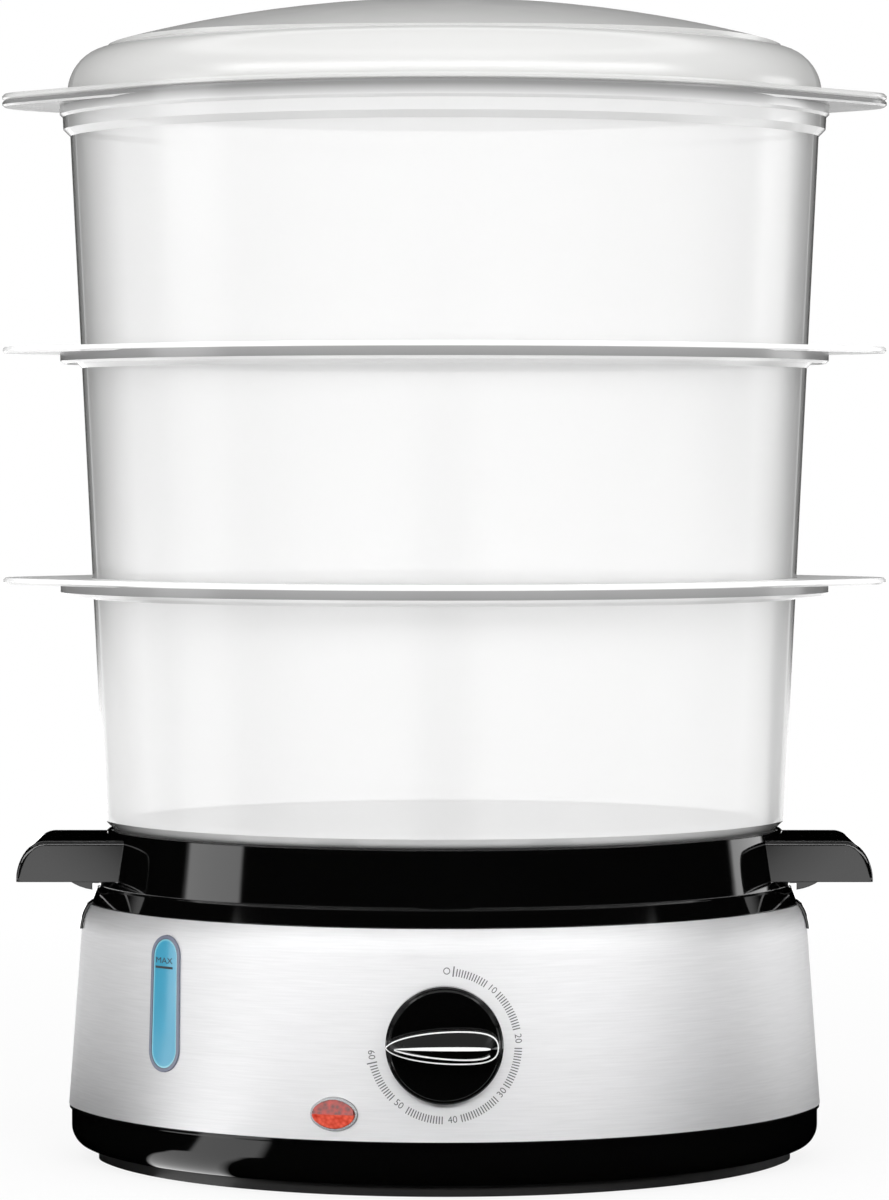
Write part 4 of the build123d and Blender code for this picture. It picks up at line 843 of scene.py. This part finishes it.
class STEAMER_OT_pilot_light(bpy.types.Operator):
    """Pilot light's lens, bezel and lamp"""

    bl_idname = "steamer.pilot_light"
    bl_label = "Pilot light"

    PRISM_MM = 1.5

    def execute(self, context):
        dress(self.red_lens(), "pilot_lens")
        # Chromed ABS ring: a mirror with a faint ripple
        dress(bare_metal("chromed_abs_ring", linear("#B9B9BB"), 0.25, 3.0, 0.002), "pilot_bezel")
        # Soda-lime glass of the neon lamp: clear, faintly warm
        clear = {"Transmission Weight": 0.9, "IOR": 1.52}
        glass = moulded_plastic("lamp_glass", linear("#FFE9DC"), 0.05, 4.0, 0.002, values=clear)
        dress(glass, "pilot_lamp")
        return {"FINISHED"}

    def red_lens(self):
        """Red acrylic cast with small prisms inside: its lower facet is painted lit and its upper facet
        painted in shade.
        """
        material, tree = new_material("red_acrylic_lens")
        place = add_node(tree, "ShaderNodeTexCoord")
        upward = add_node(
            tree, "ShaderNodeSeparateXYZ", {"Vector": place.outputs["Normal"]}
        ).outputs["Z"]
        # Painted light: facets that face down take the lit colour, those that face up the shaded one
        half = add_node(
            tree, "ShaderNodeMapRange", {"Value": upward, "From Min": -0.02, "From Max": 0.02}
        ).outputs["Result"]
        prisms = object_pattern(tree, [1 / (self.PRISM_MM * MM)] * 3)
        facets = add_node(
            tree, "ShaderNodeTexVoronoi", {"Vector": prisms, "Scale": 1.0}
        ).outputs["Distance"]
        facet_inks = (
            (colours().lens_lit, linear("#B92A1A")),
            (colours().lens_dark, linear("#B02A1C")),
        )
        lit, dark = [
            add_node(
                tree, "ShaderNodeMix", {"Factor": facets, "A": middle, "B": rim}, data_type="RGBA"
            ).outputs["Result"]
            for middle, rim in facet_inks
        ]
        tint = add_node(
            tree, "ShaderNodeMix", {"Factor": half, "A": lit, "B": dark}, data_type="RGBA"
        ).outputs["Result"]
        finish_material(tree, tint, facets, (0.06, 0.14), 0.05, {"Specular IOR Level": 0.25})
        return material


class STEAMER_OT_water_window(bpy.types.Operator):
    """Blue water window, its frame and its highest mark"""

    bl_idname = "steamer.water_window"
    bl_label = "Water window"

    MARK_ASIDE = 2.4 * MM
    LINE_LENGTH = 6.0 * MM
    LINE_THICKNESS = 0.75 * MM
    WORD_HEIGHT = 1.9 * MM
    WORD_ABOVE_LINE = 2.2 * MM

    def execute(self, context):
        dress(self.blue_plastic(), "water_window")
        # ABS with a fine grain, grey with a little violet
        frame_plastic = moulded_plastic("grey_abs_frame", linear("#6A6F80"), 0.3, 0.8, 0.01, 0.3 * MM)
        dress(frame_plastic, "window_frame")
        # Screen-printed ink on the window: nearly black, semi-matt
        ink = moulded_plastic("dark_screen_print", linear("#0C1D24"), 0.5, 0.6, 0.002)
        for name, mark in (("max_word", self.max_word()), ("max_line", self.max_line())):
            face_front(mark, self.mark_place())
            laid_on(mark, name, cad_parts["water_window"], "base", ink)
        return {"FINISHED"}

    def mark_place(self):
        """Middle of the highest mark's line, in front of the window."""
        low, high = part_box("water_window")
        aside = (low.x + high.x) / 2 - self.MARK_ASIDE
        return Vector((aside, low.y - IN_FRONT, sizes().mark_height))

    def max_word(self):
        """Word over the highest water mark."""
        word = text_mesh("MAX", self.WORD_HEIGHT)
        word.transform(Matrix.Translation((0, self.WORD_ABOVE_LINE, 0)))
        return word

    def max_line(self):
        """Bar of the highest water mark."""
        line = bmesh.new()
        bmesh.ops.create_grid(line, x_segments=12, y_segments=1, size=0.5)
        bmesh.ops.scale(line, vec=(self.LINE_LENGTH, self.LINE_THICKNESS, 1.0), verts=line.verts)
        return mesh_of(line, "max_line")

    def blue_plastic(self):
        """Clear blue polycarbonate, polished: a painted highlight makes it lighter along its edge."""
        material, tree = new_material("blue_polycarbonate_window")
        rolled = add_node(tree, "ShaderNodeBevel", {"Radius": 1.6 * MM}, samples=8).outputs["Normal"]
        flat = add_node(tree, "ShaderNodeNewGeometry").outputs["Normal"]
        same = add_node(
            tree, "ShaderNodeVectorMath", {0: rolled, 1: flat}, operation="DOT_PRODUCT"
        ).outputs["Value"]
        # Painted highlight: lighter where the rolled normal parts from the flat one, along the edges
        edge = add_node(
            tree, "ShaderNodeMapRange", {"Value": same, "From Min": 0.995, "From Max": 0.9}
        ).outputs["Result"]
        depth = noise_pattern(tree, 12.0, 1.0)
        blue = colours().window_blue
        body = add_node(
            tree, "ShaderNodeMix", {"Factor": depth, "A": blue, "B": shaded(blue, 0.85)}, data_type="RGBA"
        ).outputs["Result"]
        tint = add_node(
            tree,
            "ShaderNodeMix",
            {"Factor": edge, "A": body, "B": colours().window_edge},
            data_type="RGBA",
        ).outputs["Result"]
        finish_material(tree, tint, depth, (0.08, 0.12), 0.002, {"IOR": 1.58})
        return material


class STEAMER_OT_dial(bpy.types.Operator):
    """Printed minute scale round the knob"""

    bl_idname = "steamer.dial"
    bl_label = "Dial"

    # Degrees clockwise from the top
    FIRST_TICK = 9.6
    LAST_TICK = 254.6
    TICK_STEP = 2.18
    GAP_BESIDE_NUMBER = 6.0
    DEGREES_PER_MINUTE = 4.45
    MINUTE_ZERO = -4.3
    END_MARKS = (7.0, 256.4)
    OFF_RING = 1.7
    # Lengths on the steel
    BELOW_KNOB = 0.7 * MM
    END_MARK_WIDTH = 0.42 * MM
    END_MARK_INNER = 22.6 * MM
    END_MARK_OUTER = 26.0 * MM
    OFF_RING_DISTANCE = 24.3 * MM
    OFF_RING_RADIUS = 1.15 * MM
    # Share of the ring's radius
    OFF_RING_HOLE = 0.74
    # Numbers from this minute on stand the other way up
    FIRST_TURNED = 30

    def execute(self, context):
        low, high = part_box("timer_knob")
        height = (low.z + high.z) / 2 - self.BELOW_KNOB
        centre = Vector(((low.x + high.x) / 2, low.y - IN_FRONT, height))
        # Screen-printed ink, semi-matt
        printed = moulded_plastic("grey_screen_print", colours().print_grey, 0.5, 0.6, 0.002)
        marks = bmesh.new()
        self.add_ticks(marks)
        self.add_end_marks(marks)
        self.add_numbers(marks)
        print_mesh = mesh_of(marks, "dial_print")
        face_front(print_mesh, centre)
        laid_on(print_mesh, "dial_print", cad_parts["steel_band"], "base", printed)
        return {"FINISHED"}

    def number_angle(self, minute):
        """Degrees clockwise from the top of this number."""
        return self.DEGREES_PER_MINUTE * minute + self.MINUTE_ZERO

    def put(self, marks, verts, degrees, radius, upside_down=False):
        """Move what was just drawn at the centre out to this place on the dial."""
        spin = Matrix.Rotation(pi if upside_down else 0.0, 4, "Z")
        turn = Matrix.Rotation(-radians(degrees), 4, "Z")
        bmesh.ops.transform(marks, matrix=turn @ Matrix.Translation((0, radius, 0)) @ spin, verts=verts)

    def bar(self, marks, width, low, high, degrees):
        """Straight mark of this width between two radii."""
        drawn = bmesh.ops.create_grid(marks, x_segments=1, y_segments=2, size=0.5)["verts"]
        bmesh.ops.scale(marks, vec=(width, high - low, 1.0), verts=drawn)
        self.put(marks, drawn, degrees, (low + high) / 2)

    def add_ticks(self, marks):
        """Fine ticks, two for a minute, left out where a number stands."""
        numbers = [self.number_angle(minute) for minute in range(10, 60, 10)]
        count = int((self.LAST_TICK - self.FIRST_TICK) / self.TICK_STEP) + 1
        for step in range(count):
            degrees = self.FIRST_TICK + step * self.TICK_STEP
            if min(abs(degrees - number) for number in numbers) > self.GAP_BESIDE_NUMBER:
                self.bar(marks, sizes().tick_width, sizes().tick_inner, sizes().tick_outer, degrees)

    def add_end_marks(self, marks):
        """Ring for off, and a longer mark at each end of the scale."""
        ring = bmesh.ops.create_circle(marks, segments=24, radius=self.OFF_RING_RADIUS)["verts"]
        self.put(marks, ring, self.OFF_RING, self.OFF_RING_DISTANCE)
        loop = list({edge for v in ring for edge in v.link_edges})
        hoop = bmesh.ops.extrude_edge_only(marks, edges=loop)["geom"]
        inner = [v for v in hoop if isinstance(v, bmesh.types.BMVert)]
        middle = sum((v.co for v in inner), Vector()) / len(inner)
        hole = (self.OFF_RING_HOLE, self.OFF_RING_HOLE, 1.0)
        bmesh.ops.scale(marks, vec=hole, verts=inner, space=Matrix.Translation(-middle))
        for degrees in self.END_MARKS:
            self.bar(marks, self.END_MARK_WIDTH, self.END_MARK_INNER, self.END_MARK_OUTER, degrees)

    def add_numbers(self, marks):
        """A number at every tenth minute; those on the lower half stand the other way up."""
        middle = (sizes().tick_inner + sizes().tick_outer) / 2
        for minute in range(10, 70, 10):
            word = text_mesh(str(minute), sizes().digit_height)
            before = set(marks.verts)
            marks.from_mesh(word)
            bpy.data.meshes.remove(word)
            drawn = [v for v in marks.verts if v not in before]
            self.put(marks, drawn, self.number_angle(minute), middle, minute >= self.FIRST_TURNED)


class STEAMER_OT_water_parts(bpy.types.Operator):
    """Water tank, gauge pipe, heater and what holds it"""

    bl_idname = "steamer.water_parts"
    bl_label = "Tank and heater"

    def execute(self, context):
        # Heat-stabilised polypropylene, grey, from a grained tool
        tank = moulded_plastic("grey_polypropylene", linear("#6F7072"), 0.38, 0.9, 0.02)
        dress(tank, "water_tank", "gauge_pipe")
        # Pressure-cast aluminium: pale grey skin with fine flow marks
        cast = bare_metal("pressure_cast_aluminium", linear("#C3C4C6"), 0.42, 2.2, 0.03)
        dress(cast, "heater")
        # Moulded silicone: soft, dull and orange-red
        seal = moulded_plastic("moulded_silicone", linear("#A8402A"), 0.6, 1.2, 0.02)
        dress(seal, "heater_seal")
        # Zinc-plated steel: bluish grey with a fine drawn grain
        zinc = bare_metal("zinc_plated_steel", linear("#B4B8BC"), 0.32, 0.9, 0.01, (4.0, 1.0, 1.0))
        dress(zinc, "heater_strap", "heater_screws", "base_screws", "timer_bracket", "timer_screws")
        return {"FINISHED"}


class STEAMER_OT_electric_parts(bpy.types.Operator):
    """Timer, bell, shaft, cut-out and terminal block"""

    bl_idname = "steamer.electric_parts"
    bl_label = "Timer and terminals"

    def execute(self, context):
        # Glass-filled nylon case: mid grey, faintly mottled
        case = moulded_plastic("glass_filled_nylon", linear("#8B8D8E"), 0.5, 0.7, 0.02)
        dress(case, "timer")
        # Pressed steel bell, nickel-chromed: bright, with faint drawing rings
        bell = bare_metal("chromed_steel_bell", linear("#D0D1D2"), 0.18, 3.0, 0.005, (1.0, 0.2, 1.0))
        dress(bell, "timer_bell")
        # Turned brass: warm yellow with fine tool rings along its length
        brass = bare_metal("turned_brass", linear("#D2AA5A"), 0.24, 0.5, 0.01, (8.0, 1.0, 8.0))
        dress(brass, "timer_shaft")
        # Phenolic (bakelite) cut-out body: dark brown, slightly marbled
        bakelite = moulded_plastic("pressed_phenolic", linear("#4B2A17"), 0.35, 2.5, 0.01)
        dress(bakelite, "thermal_cutout")
        # White nylon terminal block: waxy sheen
        nylon = moulded_plastic("white_nylon", linear("#DEDDD6"), 0.42, 1.5, 0.01)
        dress(nylon, "terminal_block")
        return {"FINISHED"}


STEPS = (
    STEAMER_OT_stage,
    STEAMER_OT_black_shell,
    STEAMER_OT_steel_band,
    STEAMER_OT_baskets,
    STEAMER_OT_knob,
    STEAMER_OT_pilot_light,
    STEAMER_OT_water_window,
    STEAMER_OT_dial,
    STEAMER_OT_water_parts,
    STEAMER_OT_electric_parts,
)


class STEAMER_PT_looks(bpy.types.Panel):
    """Sidebar panel with the settings and the steps in order"""

    bl_label = "Food Steamer"
    bl_idname = "STEAMER_PT_looks"
    bl_space_type = "VIEW_3D"
    bl_region_type = "UI"
    bl_category = "Steamer"

    def draw(self, context):
        for group in (context.scene.steamer_sizes, context.scene.steamer_colours):
            for name in group.bl_rna.properties.keys():
                if name not in ("rna_type", "name"):
                    self.layout.prop(group, name)
        for step in STEPS:
            self.layout.operator(step.bl_idname)


CLASSES = (SteamerSizes, SteamerColours) + STEPS + (STEAMER_PT_looks,)


def register():
    """Add the settings, the steps and the panel to Blender."""
    for entry in CLASSES:
        bpy.utils.register_class(entry)
    bpy.types.Scene.steamer_sizes = bpy.props.PointerProperty(type=SteamerSizes)
    bpy.types.Scene.steamer_colours = bpy.props.PointerProperty(type=SteamerColours)


def unregister():
    """Take them out again, last added first."""
    del bpy.types.Scene.steamer_colours
    del bpy.types.Scene.steamer_sizes
    for entry in reversed(CLASSES):
        bpy.utils.unregister_class(entry)


def main():
    """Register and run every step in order."""
    register()
    for step in STEPS:
        group, name = step.bl_idname.split(".")
        getattr(getattr(bpy.ops, group), name)()


if __name__ == "__main__":
    main()
